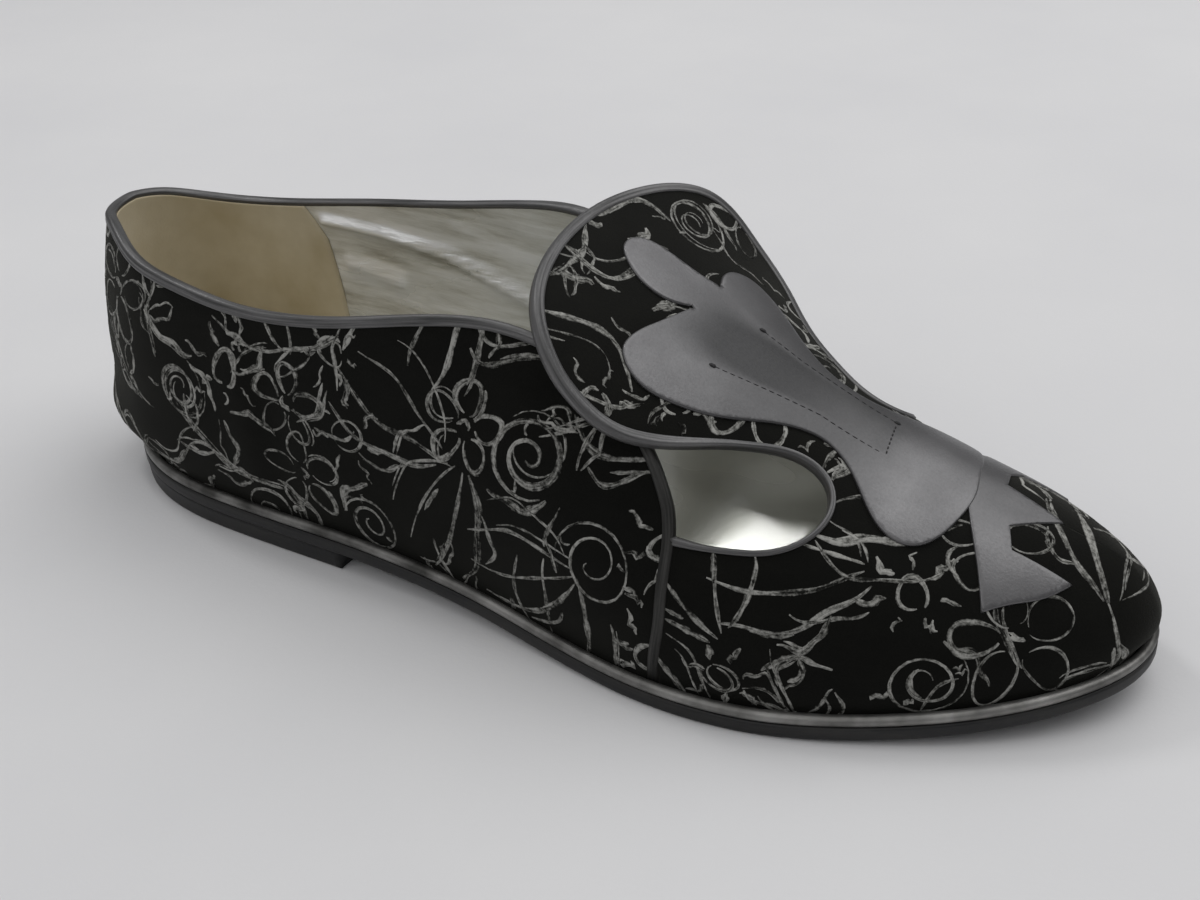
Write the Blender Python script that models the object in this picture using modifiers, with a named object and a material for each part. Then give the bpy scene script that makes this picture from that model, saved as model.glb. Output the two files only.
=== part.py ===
"""Right T-strap flat: outsole, heel lift, rand, insole and one hollow upper.

Metres, +X to the toe, +Y to the inner side of the foot, +Z up, origin on the floor under the middle.
The shape functions work in millimetres, with x from the back of the outline.
"""

import bmesh
import bpy
import numpy as np

for old in list(bpy.data.objects):
    bpy.data.objects.remove(old, do_unlink=True)

MM = 0.001
LATERAL = -1
MEDIAL = 1
SIDES = (LATERAL, MEDIAL)

# Driving sizes
SOLE_LENGTH = 250.0
SOLE_THICK = 3.0
HEEL_LIFT = 4.2
HEEL_BREAST = 83.0
TOE_SPRING = 7.0
TOE_SWING = 5.0
INSOLE_THICK = 2.0
WALL = 1.8
FIT = 0.3
FEATHER_INSET = 3.0
HEEL_INSET = 0.5
INSOLE_INSET = FEATHER_INSET + WALL + 2.0 * FIT

# Outline of sole and last in plan: half widths from the axis, stations closer together at heel and toe
OUTLINE = np.array([
    # along, lateral, medial
    (0.00, 0.0, 0.0),
    (0.05, 9.0, 8.6),
    (0.10, 16.6, 15.4),
    (0.15, 22.6, 20.2),
    (0.20, 27.8, 23.4),
    (0.30, 32.4, 25.6),
    (0.40, 33.6, 24.4),
    (0.50, 37.0, 26.0),
    (0.60, 43.9, 35.0),
    (0.65, 44.0, 38.2),
    (0.70, 40.4, 37.6),
    (0.75, 34.8, 34.0),
    (0.80, 28.6, 28.4),
    (0.85, 21.8, 21.8),
    (0.90, 15.0, 14.6),
    (0.95, 7.8, 7.4),
    (1.00, 0.0, 0.0),
])

# Underside of the outsole: seat on the lift, arch, tread on the floor, toe spring
UNDERSIDE = np.array([
    # x, height
    (0.0, HEEL_LIFT),
    (HEEL_BREAST, HEEL_LIFT),
    (103.0, 3.6),
    (120.0, 2.6),
    (145.0, 0.7),
    (163.0, 0.0),
    (185.0, 0.0),
    (200.0, 0.5),
    (217.0, 1.8),
    (233.0, 3.9),
    (243.0, 5.7),
    (250.0, TOE_SPRING),
])

# Ridge line of the last, over heel, instep and toe
CREST = np.array([
    # x, y, height
    (17.0, 0.0, 88.0),
    (55.0, 0.6, 90.0),
    (85.0, 1.2, 88.5),
    (105.0, 1.6, 84.5),
    (125.0, 2.0, 77.5),
    (145.0, 2.2, 67.8),
    (165.0, 2.4, 57.2),
    (185.0, 2.8, 46.5),
    (205.0, 3.4, 38.5),
    (220.0, 4.0, 35.0),
    (230.0, 4.5, 32.2),
    (238.0, 5.0, 29.4),
])

# Section of the last: squareness on each side, and how far the wall swells over the feather edge
SECTION = np.array([
    # along, lateral power, medial power, swell
    (0.00, 2.6, 2.6, 3.4),
    (0.15, 2.6, 2.6, 3.4),
    (0.30, 2.6, 3.2, 3.0),
    (0.42, 2.8, 3.8, 2.6),
    (0.52, 2.8, 3.6, 2.4),
    (0.63, 2.3, 2.4, 2.0),
    (0.75, 2.15, 2.15, 1.6),
    (0.90, 2.2, 2.2, 1.1),
    (1.00, 2.3, 2.3, 0.8),
])

# Topline of the quarters, height over the floor; the front rows lie under the hood
TOPLINE = np.array([
    # along, lateral, medial
    (0.00, 63.6, 63.6),
    (0.07, 63.8, 61.8),
    (0.14, 63.8, 59.4),
    (0.20, 60.5, 58.6),
    (0.26, 58.5, 59.8),
    (0.33, 57.0, 63.2),
    (0.40, 59.6, 67.4),
    (0.45, 63.4, 71.3),
    (0.49, 64.8, 72.8),
    (0.52, 62.9, 70.0),
    (0.56, 56.2, 59.5),
    (0.60, 46.0, 46.8),
])

# Front edge of the quarters, and the side cut-out between it, the vamp and the neck of the hood
CORNER_ALONG = 0.612
QUARTER_FRONT = np.array([
    # rise, along
    (0.00, 0.607),
    (0.20, 0.613),
    (0.36, CORNER_ALONG),
    (0.45, 0.608),
    (0.51, 0.598),
    (0.55, 0.584),
])
CUTOUT_ROUND = 0.655
CUTOUT_END = 0.690
CUTOUT_END_RISE = 0.660
CUTOUT = np.array([
    # along, middle, half height
    (0.600, 0.478, 0.092),
    (0.635, 0.563, 0.146),
    (CUTOUT_ROUND, 0.606, 0.158),
    (CUTOUT_END, CUTOUT_END_RISE, 0.158),
])

# Hood: ridge height, half width and roundness across, then an elliptic end towards the heel
HOOD_MIDDLE = 2.2
HOOD_HALF = 38.8
HOOD_WIDEST = 147.0
HOOD_END = 130.0
HOOD_LIFT = 0.8
NECK_HOOD = 158.0
HOOD = np.array([
    # x, ridge, half width, curvature
    (HOOD_END, 78.3, HOOD_HALF, 0.0000),
    (140.0, 71.8, HOOD_HALF, 0.0016),
    (HOOD_WIDEST, 67.2, HOOD_HALF, 0.0070),
    (155.0, 62.0, 37.0, 0.0118),
    (163.0, 57.4, 30.8, 0.0165),
    (172.0, 52.9, 23.0, 0.0210),
    (190.0, 43.9, 16.0, 0.0230),
])

# The sole is drawn in under heel and toe, and the wall bulges out over it there, clear of the bead
OVERHANG = np.array([
    # along, drawn in, bulge
    (0.00, 3.4, 2.2),
    (0.09, 3.0, 3.5),
    (0.18, 1.2, 1.6),
    (0.28, 0.0, 0.0),
    (0.84, 0.0, 0.0),
    (0.93, 0.4, 1.0),
    (1.00, 0.6, 2.0),
])
BULGE_HEIGHT = 8.0
BULGE_WIDTH = 8.0
BULGE_FOOT = (2.4, 8.0)
BULGE_FADE = 6

# The quarters' front corners lie a little inwards, clear of the hood over them
TUCK = 1.6
TUCK_RISE = (0.20, 0.40)
TUCK_ALONG = (0.45, 0.55)

# Bead between upper and outsole
RAND = np.array([
    # inset, height over the outsole
    (0.25, FIT),
    (0.10, 1.2),
    (0.45, 2.1),
    (1.10, 2.4),
    (1.80, 2.1),
    (2.40, FIT),
])

# Mesh density
ACROSS = 8
STATIONS = 36
ROWS_LOW = 6
LOW_CROWDING = 2.0
ROWS_HIGH = 5
ROWS_NECK = 6
QUARTER_COLUMNS = 24
CUTOUT_COLUMNS = 9
VAMP_COLUMNS = 16
HOOD_COLUMNS = 4
CAP_COLUMNS = 5

# Largest value of t (1 - t)^2 is 4/27
SWELL_PEAK = 4.0 / 27.0
SMALL = 1e-4
WELD = 0.02


def ease(share):
    """Smooth step from 0 to 1."""
    share = np.clip(share, 0.0, 1.0)
    return share * share * (3.0 - 2.0 * share)


def ramp(value, low, high):
    """Smooth step between two values."""
    return ease((value - low) / (high - low))


def flowing(stations, values, at):
    """Natural cubic through the stations."""
    count = len(stations)
    step = np.diff(stations)
    system = np.eye(count)
    bend = np.zeros(count)
    for i in range(1, count - 1):
        system[i, i - 1:i + 2] = step[i - 1], 2.0 * (step[i - 1] + step[i]), step[i]
        bend[i] = 6.0 * ((values[i + 1] - values[i]) / step[i] - (values[i] - values[i - 1]) / step[i - 1])
    moment = np.linalg.solve(system, bend)
    i = np.clip(np.searchsorted(stations, at) - 1, 0, count - 2)
    before = at - stations[i]
    after = stations[i + 1] - at
    span = step[i]
    curve = (moment[i] * after ** 3 + moment[i + 1] * before ** 3) / (6.0 * span)
    low = (values[i] / span - moment[i] * span / 6.0) * after
    high = (values[i + 1] / span - moment[i + 1] * span / 6.0) * before
    return curve + low + high


def steady(stations, values, at):
    """Cubic through the stations that never overshoots, so flat runs stay flat."""
    step = np.diff(stations)
    rise = np.diff(values) / step
    slope = np.zeros(len(stations))
    slope[0] = rise[0]
    slope[-1] = rise[-1]
    for i in range(1, len(rise)):
        if rise[i - 1] * rise[i] > 0.0:
            weight_a = 2.0 * step[i] + step[i - 1]
            weight_b = step[i] + 2.0 * step[i - 1]
            slope[i] = (weight_a + weight_b) / (weight_a / rise[i - 1] + weight_b / rise[i])
    at = np.clip(at, stations[0], stations[-1])
    i = np.clip(np.searchsorted(stations, at) - 1, 0, len(step) - 1)
    t = (at - stations[i]) / step[i]
    start = (2.0 * t ** 3 - 3.0 * t ** 2 + 1.0) * values[i] + (t ** 3 - 2.0 * t ** 2 + t) * step[i] * slope[i]
    end = (3.0 * t ** 2 - 2.0 * t ** 3) * values[i + 1] + (t ** 3 - t ** 2) * step[i] * slope[i + 1]
    return start + end


def station_x(along):
    """Length from the back of the outline at a station, 0 at the heel and 1 at the toe."""
    return SOLE_LENGTH * (1.0 - np.cos(np.pi * along)) / 2.0


def station_at(x):
    """Station at a length from the back of the outline."""
    return np.arccos(1.0 - 2.0 * x / SOLE_LENGTH) / np.pi


def axis_y(along):
    """Middle of the sole, which swings inwards at the toe."""
    return TOE_SWING * ramp(along, 0.5, 1.0)


def sole_edge(along, side):
    """Outline in plan."""
    width = flowing(OUTLINE[:, 0], OUTLINE[:, 1 if side == LATERAL else 2], along)
    return np.stack([station_x(along), axis_y(along) + side * width], axis=-1)


def edge_normal(along, side):
    """Outward direction of the outline in plan."""
    ahead = sole_edge(np.minimum(along + SMALL, 1.0), side)
    behind = sole_edge(np.maximum(along - SMALL, 0.0), side)
    run = ahead - behind
    out = np.stack([-run[..., 1] * side, run[..., 0] * side], axis=-1)
    out /= np.linalg.norm(out, axis=-1, keepdims=True)
    out = np.where((along <= 0.0)[..., None], np.array([-1.0, 0.0]), out)
    return np.where((along >= 1.0)[..., None], np.array([1.0, 0.0]), out)


def underside(x):
    """Height of the outsole's underside."""
    return steady(UNDERSIDE[:, 0], UNDERSIDE[:, 1], x)


def drawn_in(along):
    """How far the sole lies inwards of the outline, under heel and toe."""
    return steady(OVERHANG[:, 0], OVERHANG[:, 1], along)


def inset_edge(along, side, inset):
    """Edge of a piece under the foot, moved inwards from the outline."""
    depth = inset + drawn_in(along)
    return sole_edge(along, side) - depth[..., None] * edge_normal(along, side)


def feather_edge(along, side):
    """Lower edge of the upper's outer face, on the outsole."""
    plan = inset_edge(along, side, FEATHER_INSET)
    height = underside(plan[..., 0]) + SOLE_THICK + FIT
    return np.concatenate([plan, height[..., None]], axis=-1)


def crest_x(along):
    """Length of the ridge at a station."""
    return CREST[0, 0] + (CREST[-1, 0] - CREST[0, 0]) * station_x(along) / SOLE_LENGTH


def crest(along):
    """Ridge of the last."""
    x = crest_x(along)
    return np.stack([x, flowing(CREST[:, 0], CREST[:, 1], x), flowing(CREST[:, 0], CREST[:, 2], x)], axis=-1)


def crest_slope(along):
    """Fall of the ridge towards the toe."""
    x = crest_x(along)
    ahead = flowing(CREST[:, 0], CREST[:, 2], x + SMALL)
    behind = flowing(CREST[:, 0], CREST[:, 2], x - SMALL)
    return (ahead - behind) / (2.0 * SMALL)


def section_power(along, side):
    """Squareness of the section."""
    return flowing(SECTION[:, 0], SECTION[:, 1 if side == LATERAL else 2], along)


def last_wall(along, side, rise):
    """Outer face of the last: rise 0 at the feather edge, 1 on the ridge."""
    along, rise = np.broadcast_arrays(along, rise)
    foot = feather_edge(along, side)
    reach = crest(along) - foot
    power = section_power(along, side)
    up = np.sin(rise * np.pi / 2.0) ** (2.0 / power)
    inward = 1.0 - np.cos(rise * np.pi / 2.0) ** (2.0 / power)
    swell = flowing(SECTION[:, 0], SECTION[:, 3], along) * up * (1.0 - up) ** 2 / SWELL_PEAK
    over_bead = reach[..., 2] * up
    low_down = np.exp(-((over_bead - BULGE_HEIGHT) / BULGE_WIDTH) ** 2)
    bulge = steady(OVERHANG[:, 0], OVERHANG[:, 2], along) * low_down
    swell = swell + (drawn_in(along) * (1.0 - up ** BULGE_FADE) + bulge) * ramp(over_bead, *BULGE_FOOT)
    plan = foot[..., :2] + reach[..., :2] * inward[..., None] + edge_normal(along, side) * swell[..., None]
    sag = crest_slope(along) * reach[..., 0] * inward * (1.0 - inward)
    height = foot[..., 2] + reach[..., 2] * up - sag
    return np.concatenate([plan, height[..., None]], axis=-1)


def rise_at_height(along, side, height):
    """Rise of the wall at a height over the floor."""
    foot = feather_edge(along, side)[..., 2]
    up = (height - foot) / (crest(along)[..., 2] - foot)
    return np.arcsin(np.clip(up, 0.0, 1.0) ** (section_power(along, side) / 2.0)) * 2.0 / np.pi


def rise_to_crest(along, side, rise, share):
    """Rise part of the way to the ridge, in even steps seen from above."""
    power = section_power(along, side)
    return np.arccos(np.cos(rise * np.pi / 2.0) * (1.0 - share) ** (power / 2.0)) * 2.0 / np.pi


def cutout_rises(along):
    """Lower and upper edge of the side cut-out at a station."""
    middle = steady(CUTOUT[:, 0], CUTOUT[:, 1], along)
    half = steady(CUTOUT[:, 0], CUTOUT[:, 2], along)
    round_share = np.clip((along - CUTOUT_ROUND) / (CUTOUT_END - CUTOUT_ROUND), 0.0, 1.0)
    half = half * np.sqrt(1.0 - round_share ** 2)
    return middle - half, middle + half


def hood_point(x, offset):
    """Outer face of the hood at an offset from its middle line."""
    ridge = flowing(HOOD[:, 0], HOOD[:, 1], x)
    bend = flowing(HOOD[:, 0], HOOD[:, 3], x)
    height = ridge - bend * offset ** 2 / 2.0 + HOOD_LIFT
    return np.stack([x, HOOD_MIDDLE + offset, height], axis=-1)


def low_shares():
    """Rows of the wall below the cut-out, closer together over the feather edge."""
    return np.linspace(0.0, 1.0, ROWS_LOW + 1) ** LOW_CROWDING


def quarter_patch(side):
    """Quarter from the heel to its front edge, feather edge to topline."""
    heights = TOPLINE[:, 1 if side == LATERAL else 2]
    share = np.linspace(0.0, 1.0, QUARTER_COLUMNS + 1)
    cut_low = cutout_rises(CORNER_ALONG)[0]
    front_top = QUARTER_FRONT[-1, 0]
    low = cut_low * low_shares()
    high = np.linspace(cut_low, front_top, ROWS_HIGH + 1)[1:]
    front_rise = np.concatenate([low, high])
    front_along = steady(QUARTER_FRONT[:, 0], QUARTER_FRONT[:, 1], front_rise)
    along = share[:, None] * front_along[None, :]
    top = rise_at_height(along, side, flowing(TOPLINE[:, 0], heights, along))
    rise = top * (front_rise / front_top)[None, :]
    points = last_wall(along, side, rise)
    tuck = TUCK * ramp(rise, *TUCK_RISE) * ramp(along, *TUCK_ALONG)
    points[..., 1] -= side * tuck
    return points


def strip_patch(side, quarter):
    """Low strip under the cut-out, from the quarter's front edge to the cut-out's round end."""
    share = np.sin(np.linspace(0.0, np.pi / 2.0, CUTOUT_COLUMNS + 1))
    along = CORNER_ALONG + (CUTOUT_END - CORNER_ALONG) * share
    low = cutout_rises(along)[0]
    rise = low[:, None] * low_shares()[None, :]
    points = last_wall(along[:, None], side, rise)
    shift = quarter[-1, :ROWS_LOW + 1] - points[0]
    points += (1.0 - share)[:, None, None] ** 2 * shift[None, :, :]
    return points


def vamp_patch(side):
    """Vamp from the cut-out's round end to the toe, feather edge to ridge."""
    along = np.linspace(CUTOUT_END, 1.0, VAMP_COLUMNS + 1)
    middle = np.full_like(along, CUTOUT_END_RISE)
    low = middle[:, None] * low_shares()[None, :]
    share = np.linspace(0.0, 1.0, ROWS_NECK + 1)[None, 1:]
    high = rise_to_crest(along[:, None], side, middle[:, None], share)
    return last_wall(along[:, None], side, np.concatenate([low, high], axis=1))


def neck_columns():
    """Lengths of the hood's columns on its ridge, from the vamp to the hood's widest place."""
    share = np.sin(np.linspace(0.0, np.pi / 2.0, CUTOUT_COLUMNS + 1))
    neck = crest_x(CORNER_ALONG + (CUTOUT_END - CORNER_ALONG) * share)[::-1]
    hood = np.linspace(neck[-1], HOOD_WIDEST, HOOD_COLUMNS + 1)[1:]
    return np.concatenate([neck, hood])


def hood_patch(side):
    """Half of the hood, from the vamp over the neck to its widest place, edge to ridge."""
    x = neck_columns()
    along = station_at((x - CREST[0, 0]) / (CREST[-1, 0] - CREST[0, 0]) * SOLE_LENGTH)
    share = np.linspace(0.0, 1.0, ROWS_NECK + 1)[None, :]
    edge = cutout_rises(np.maximum(along, CUTOUT[0, 0]))[1]
    on_last = last_wall(along[:, None], side, rise_to_crest(along[:, None], side, edge[:, None], share))
    width = flowing(HOOD[:, 0], HOOD[:, 2], x)
    spread = np.broadcast_to(x[:, None], on_last.shape[:2])
    free = hood_point(spread, side * width[:, None] * (1.0 - share))
    blend = ramp(x, NECK_HOOD, x[0])[:, None, None]
    return on_last * blend + free * (1.0 - blend)


def cap_patch():
    """Elliptic end of the hood towards the heel, a square grid pressed into half an ellipse."""
    across = np.linspace(-1.0, 1.0, 2 * ROWS_NECK + 1)[None, :]
    back = np.linspace(0.0, 1.0, CAP_COLUMNS + 1)[:, None]
    offset = HOOD_HALF * across * np.sqrt(1.0 - back ** 2 / 2.0)
    x = HOOD_WIDEST - (HOOD_WIDEST - HOOD_END) * back * np.sqrt(1.0 - across ** 2 / 2.0)
    return hood_point(x, offset)


def add_patch(mesh, points):
    """Adds a grid of faces through rows of points."""
    rows = [[mesh.verts.new(point * MM) for point in row] for row in points]
    for row, following in zip(rows[:-1], rows[1:]):
        for j in range(len(row) - 1):
            mesh.faces.new((row[j], following[j], following[j + 1], row[j + 1]))


def close_seams(mesh):
    """Joins the patches along their shared edges."""
    bmesh.ops.remove_doubles(mesh, verts=mesh.verts, dist=WELD * MM)
    bmesh.ops.recalc_face_normals(mesh, faces=mesh.faces)


def paint(name, colour, roughness, metallic):
    """Plain material."""
    material = bpy.data.materials.new(name)
    material.use_nodes = True
    shader = material.node_tree.nodes["Principled BSDF"]
    shader.inputs["Base Color"].default_value = (*colour, 1.0)
    shader.inputs["Roughness"].default_value = roughness
    shader.inputs["Metallic"].default_value = metallic
    return material


def add_piece(name, mesh, material):
    """Turns a mesh into a named piece of the shoe."""
    data = bpy.data.meshes.new(name)
    mesh.to_mesh(data)
    mesh.free()
    data.shade_smooth()
    data.materials.append(material)
    piece = bpy.data.objects.new(name, data)
    shoe.objects.link(piece)
    piece.parent = floor_point
    return piece


def sole_sheet(inset, stations, base, thickness):
    """Closed sheet with the sole's outline: lower face at the height base(x), upper face above it."""
    across = np.linspace(0.0, 1.0, ACROSS + 1)[None, :, None]
    outer = inset_edge(stations, LATERAL, inset)[:, None, :]
    inner = inset_edge(stations, MEDIAL, inset)[:, None, :]
    plan = outer * (1.0 - across) + inner * across
    points = np.concatenate([plan, base(plan[..., 0])[..., None]], axis=-1)
    mesh = bmesh.new()
    add_patch(mesh, points)
    close_seams(mesh)
    raised = bmesh.ops.extrude_face_region(mesh, geom=list(mesh.faces))
    moved = [item for item in raised["geom"] if isinstance(item, bmesh.types.BMVert)]
    bmesh.ops.translate(mesh, verts=moved, vec=(0.0, 0.0, thickness * MM))
    bmesh.ops.recalc_face_normals(mesh, faces=mesh.faces)
    return mesh


def make_outsole():
    stations = np.linspace(0.0, 1.0, STATIONS + 1)
    mesh = sole_sheet(0.0, stations, underside, SOLE_THICK)
    return add_piece("outsole", mesh, paint("black_sole", (0.012, 0.012, 0.013), 0.55, 0.0))


def make_heel():
    stations = np.linspace(0.0, 1.0, STATIONS // 3 + 1) * station_at(HEEL_BREAST)
    mesh = sole_sheet(HEEL_INSET, stations, np.zeros_like, HEEL_LIFT - FIT)
    return add_piece("heel", mesh, paint("black_lift", (0.012, 0.012, 0.013), 0.5, 0.0))


def make_insole():
    def seat(x):
        return underside(x) + SOLE_THICK + FIT
    stations = np.linspace(0.0, 1.0, STATIONS + 1)
    mesh = sole_sheet(INSOLE_INSET, stations, seat, INSOLE_THICK)
    return add_piece("insole", mesh, paint("pewter_sock", (0.30, 0.29, 0.28), 0.25, 0.6))


def make_rand():
    """Bead on the outsole's margin: its profile carried once round the sole."""
    mesh = bmesh.new()
    stations = np.linspace(0.0, 1.0, STATIONS + 1)
    for side in SIDES:
        loops = []
        for inset, height in np.concatenate([RAND, RAND[:1]]):
            plan = inset_edge(stations, side, inset)
            lift = underside(plan[:, 0]) + SOLE_THICK + height
            loops.append(np.concatenate([plan, lift[:, None]], axis=-1))
        add_patch(mesh, loops)
    close_seams(mesh)
    return add_piece("rand", mesh, paint("pewter_rand", (0.33, 0.32, 0.31), 0.35, 0.7))


def make_upper():
    """Vamp, quarters and hood as one open surface, thickened inwards."""
    mesh = bmesh.new()
    for side in SIDES:
        quarter = quarter_patch(side)
        add_patch(mesh, quarter)
        add_patch(mesh, strip_patch(side, quarter))
        add_patch(mesh, vamp_patch(side))
        add_patch(mesh, hood_patch(side))
    add_patch(mesh, cap_patch())
    close_seams(mesh)
    mesh.faces.ensure_lookup_table()
    highest = max(mesh.faces, key=lambda face: face.calc_center_median().z)
    if highest.normal.z < 0.0:
        bmesh.ops.reverse_faces(mesh, faces=mesh.faces)
    upper = add_piece("upper", mesh, paint("black_suede", (0.02, 0.018, 0.017), 0.9, 0.0))
    wall = upper.modifiers.new("wall", "SOLIDIFY")
    wall.thickness = WALL * MM
    wall.offset = -1.0
    wall.use_even_offset = True
    return upper


shoe = bpy.data.collections.new("t_strap_flat")
bpy.context.scene.collection.children.link(shoe)
floor_point = bpy.data.objects.new("floor_point", None)
shoe.objects.link(floor_point)
fine = np.linspace(0.0, 1.0, 2001)
outer_reach = sole_edge(fine, LATERAL)[:, 1].min()
inner_reach = max(sole_edge(fine, MEDIAL)[:, 1].max(), HOOD_MIDDLE + HOOD_HALF)
back_reach = last_wall(np.zeros_like(fine), LATERAL, fine)[:, 0].min()
front_reach = last_wall(np.ones_like(fine), LATERAL, fine)[:, 0].max()
middle_x = (back_reach + front_reach) / 2.0
middle_y = (outer_reach + inner_reach) / 2.0
floor_point.location = (-middle_x * MM, -middle_y * MM, 0.0)

make_outsole()
make_heel()
make_rand()
make_insole()
make_upper()
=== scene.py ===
"""Looks of the right T-strap flat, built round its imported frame.

Shapes are worked out in millimetres with x from the back of the outline, y to the inner side of the foot
and z up from the floor; place() moves them into the frame, in metres.
"""

import math

import bpy
import numpy as np
from mathutils import Matrix, Vector
from mathutils.bvhtree import BVHTree
from mathutils.geometry import delaunay_2d_cdt
from mathutils.interpolate import poly_3d_calc
from mathutils.kdtree import KDTree


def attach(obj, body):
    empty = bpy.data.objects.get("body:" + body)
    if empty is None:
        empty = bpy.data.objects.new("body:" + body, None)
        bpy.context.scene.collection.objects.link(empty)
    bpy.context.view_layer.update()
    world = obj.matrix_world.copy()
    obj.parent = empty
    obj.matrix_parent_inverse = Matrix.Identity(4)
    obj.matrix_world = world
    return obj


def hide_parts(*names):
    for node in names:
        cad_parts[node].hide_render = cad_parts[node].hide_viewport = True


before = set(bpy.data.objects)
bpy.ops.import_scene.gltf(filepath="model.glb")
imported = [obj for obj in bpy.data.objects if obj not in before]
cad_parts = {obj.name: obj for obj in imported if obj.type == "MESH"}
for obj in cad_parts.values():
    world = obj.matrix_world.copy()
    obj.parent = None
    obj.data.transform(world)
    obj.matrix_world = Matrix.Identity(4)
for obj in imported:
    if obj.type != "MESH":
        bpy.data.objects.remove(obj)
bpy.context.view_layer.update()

MM = 0.001
LATERAL = -1
MEDIAL = 1
SIDES = (LATERAL, MEDIAL)
random = np.random.default_rng(23)

# Driving sizes, as in the frame
SOLE_LENGTH = 250.0
SOLE_THICK = 3.0
HEEL_LIFT = 4.2
HEEL_BREAST = 83.0
TOE_SPRING = 7.0
TOE_SWING = 5.0
SWING_ALONG = (0.5, 1.0)
INSOLE_THICK = 2.0
WALL = 1.8
FIT = 0.3
FEATHER_INSET = 3.0
INSOLE_INSET = FEATHER_INSET + WALL + 2.0 * FIT
SUEDE_THICK = 1.0
LINING_GAP = 0.05

# Outline of sole and last in plan: half widths from the axis, stations closer together at heel and toe
OUTLINE = np.array([
    # along, lateral, medial
    (0.00, 0.0, 0.0),
    (0.05, 9.0, 8.6),
    (0.10, 16.6, 15.4),
    (0.15, 22.6, 20.2),
    (0.20, 27.8, 23.4),
    (0.30, 32.4, 25.6),
    (0.40, 33.6, 24.4),
    (0.50, 37.0, 26.0),
    (0.60, 43.9, 35.0),
    (0.65, 44.0, 38.2),
    (0.70, 40.4, 37.6),
    (0.75, 34.8, 34.0),
    (0.80, 28.6, 28.4),
    (0.85, 21.8, 21.8),
    (0.90, 15.0, 14.6),
    (0.95, 7.8, 7.4),
    (1.00, 0.0, 0.0),
])

# Underside of the outsole: seat on the lift, arch, tread on the floor, toe spring
UNDERSIDE = np.array([
    # x, height
    (0.0, HEEL_LIFT),
    (HEEL_BREAST, HEEL_LIFT),
    (103.0, 3.6),
    (120.0, 2.6),
    (145.0, 0.7),
    (163.0, 0.0),
    (185.0, 0.0),
    (200.0, 0.5),
    (217.0, 1.8),
    (233.0, 3.9),
    (243.0, 5.7),
    (250.0, TOE_SPRING),
])

# Ridge line of the last, over heel, instep and toe
CREST = np.array([
    # x, y, height
    (17.0, 0.0, 88.0),
    (55.0, 0.6, 90.0),
    (85.0, 1.2, 88.5),
    (105.0, 1.6, 84.5),
    (125.0, 2.0, 77.5),
    (145.0, 2.2, 67.8),
    (165.0, 2.4, 57.2),
    (185.0, 2.8, 46.5),
    (205.0, 3.4, 38.5),
    (220.0, 4.0, 35.0),
    (230.0, 4.5, 32.2),
    (238.0, 5.0, 29.4),
])

# Section of the last: squareness on each side, and how far the wall swells over the feather edge
SECTION = np.array([
    # along, lateral power, medial power, swell
    (0.00, 2.6, 2.6, 3.4),
    (0.15, 2.6, 2.6, 3.4),
    (0.30, 2.6, 3.2, 3.0),
    (0.42, 2.8, 3.8, 2.6),
    (0.52, 2.8, 3.6, 2.4),
    (0.63, 2.3, 2.4, 2.0),
    (0.75, 2.15, 2.15, 1.6),
    (0.90, 2.2, 2.2, 1.1),
    (1.00, 2.3, 2.3, 0.8),
])

# Topline of the quarters, height over the floor; the front rows lie under the hood
TOPLINE = np.array([
    # along, lateral, medial
    (0.00, 63.6, 63.6),
    (0.07, 63.8, 61.8),
    (0.14, 63.8, 59.4),
    (0.20, 60.5, 58.6),
    (0.26, 58.5, 59.8),
    (0.33, 57.0, 63.2),
    (0.40, 59.6, 67.4),
    (0.45, 63.4, 71.3),
    (0.49, 64.8, 72.8),
    (0.52, 62.9, 70.0),
    (0.56, 56.2, 59.5),
    (0.60, 46.0, 46.8),
])

# Front edge of the quarters, and the side cut-out between it, the vamp and the neck of the hood
CORNER_ALONG = 0.612
QUARTER_FRONT = np.array([
    # rise, along
    (0.00, 0.607),
    (0.20, 0.613),
    (0.36, CORNER_ALONG),
    (0.45, 0.608),
    (0.51, 0.598),
    (0.55, 0.584),
])
CUTOUT_ROUND = 0.655
CUTOUT_END = 0.690
CUTOUT_END_RISE = 0.660
CUTOUT = np.array([
    # along, middle, half height
    (0.600, 0.478, 0.092),
    (0.635, 0.563, 0.146),
    (CUTOUT_ROUND, 0.606, 0.158),
    (CUTOUT_END, CUTOUT_END_RISE, 0.158),
])

# Hood: ridge height, half width and roundness across, then an elliptic end towards the heel
HOOD_MIDDLE = 2.2
HOOD_HALF = 38.8
HOOD_WIDEST = 147.0
HOOD_END = 130.0
HOOD_LIFT = 0.8
NECK_HOOD = 158.0
HOOD = np.array([
    # x, ridge, half width, curvature
    (HOOD_END, 78.3, HOOD_HALF, 0.0000),
    (140.0, 71.8, HOOD_HALF, 0.0016),
    (HOOD_WIDEST, 67.2, HOOD_HALF, 0.0070),
    (155.0, 62.0, 37.0, 0.0118),
    (163.0, 57.4, 30.8, 0.0165),
    (172.0, 52.9, 23.0, 0.0210),
    (190.0, 43.9, 16.0, 0.0230),
])

# The sole is drawn in under heel and toe, and the wall bulges out over it there, clear of the bead
OVERHANG = np.array([
    # along, drawn in, bulge
    (0.00, 3.4, 2.2),
    (0.09, 3.0, 3.5),
    (0.18, 1.2, 1.6),
    (0.28, 0.0, 0.0),
    (0.84, 0.0, 0.0),
    (0.93, 0.4, 1.0),
    (1.00, 0.6, 2.0),
])
BULGE_HEIGHT = 8.0
BULGE_WIDTH = 8.0
BULGE_FOOT = (0.8, 5.5)
BULGE_FADE = 6

# The quarters' front corners lie a little inwards, clear of the hood over them
TUCK = 1.6
TUCK_RISE = (0.20, 0.40)
TUCK_ALONG = (0.45, 0.55)

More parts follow.
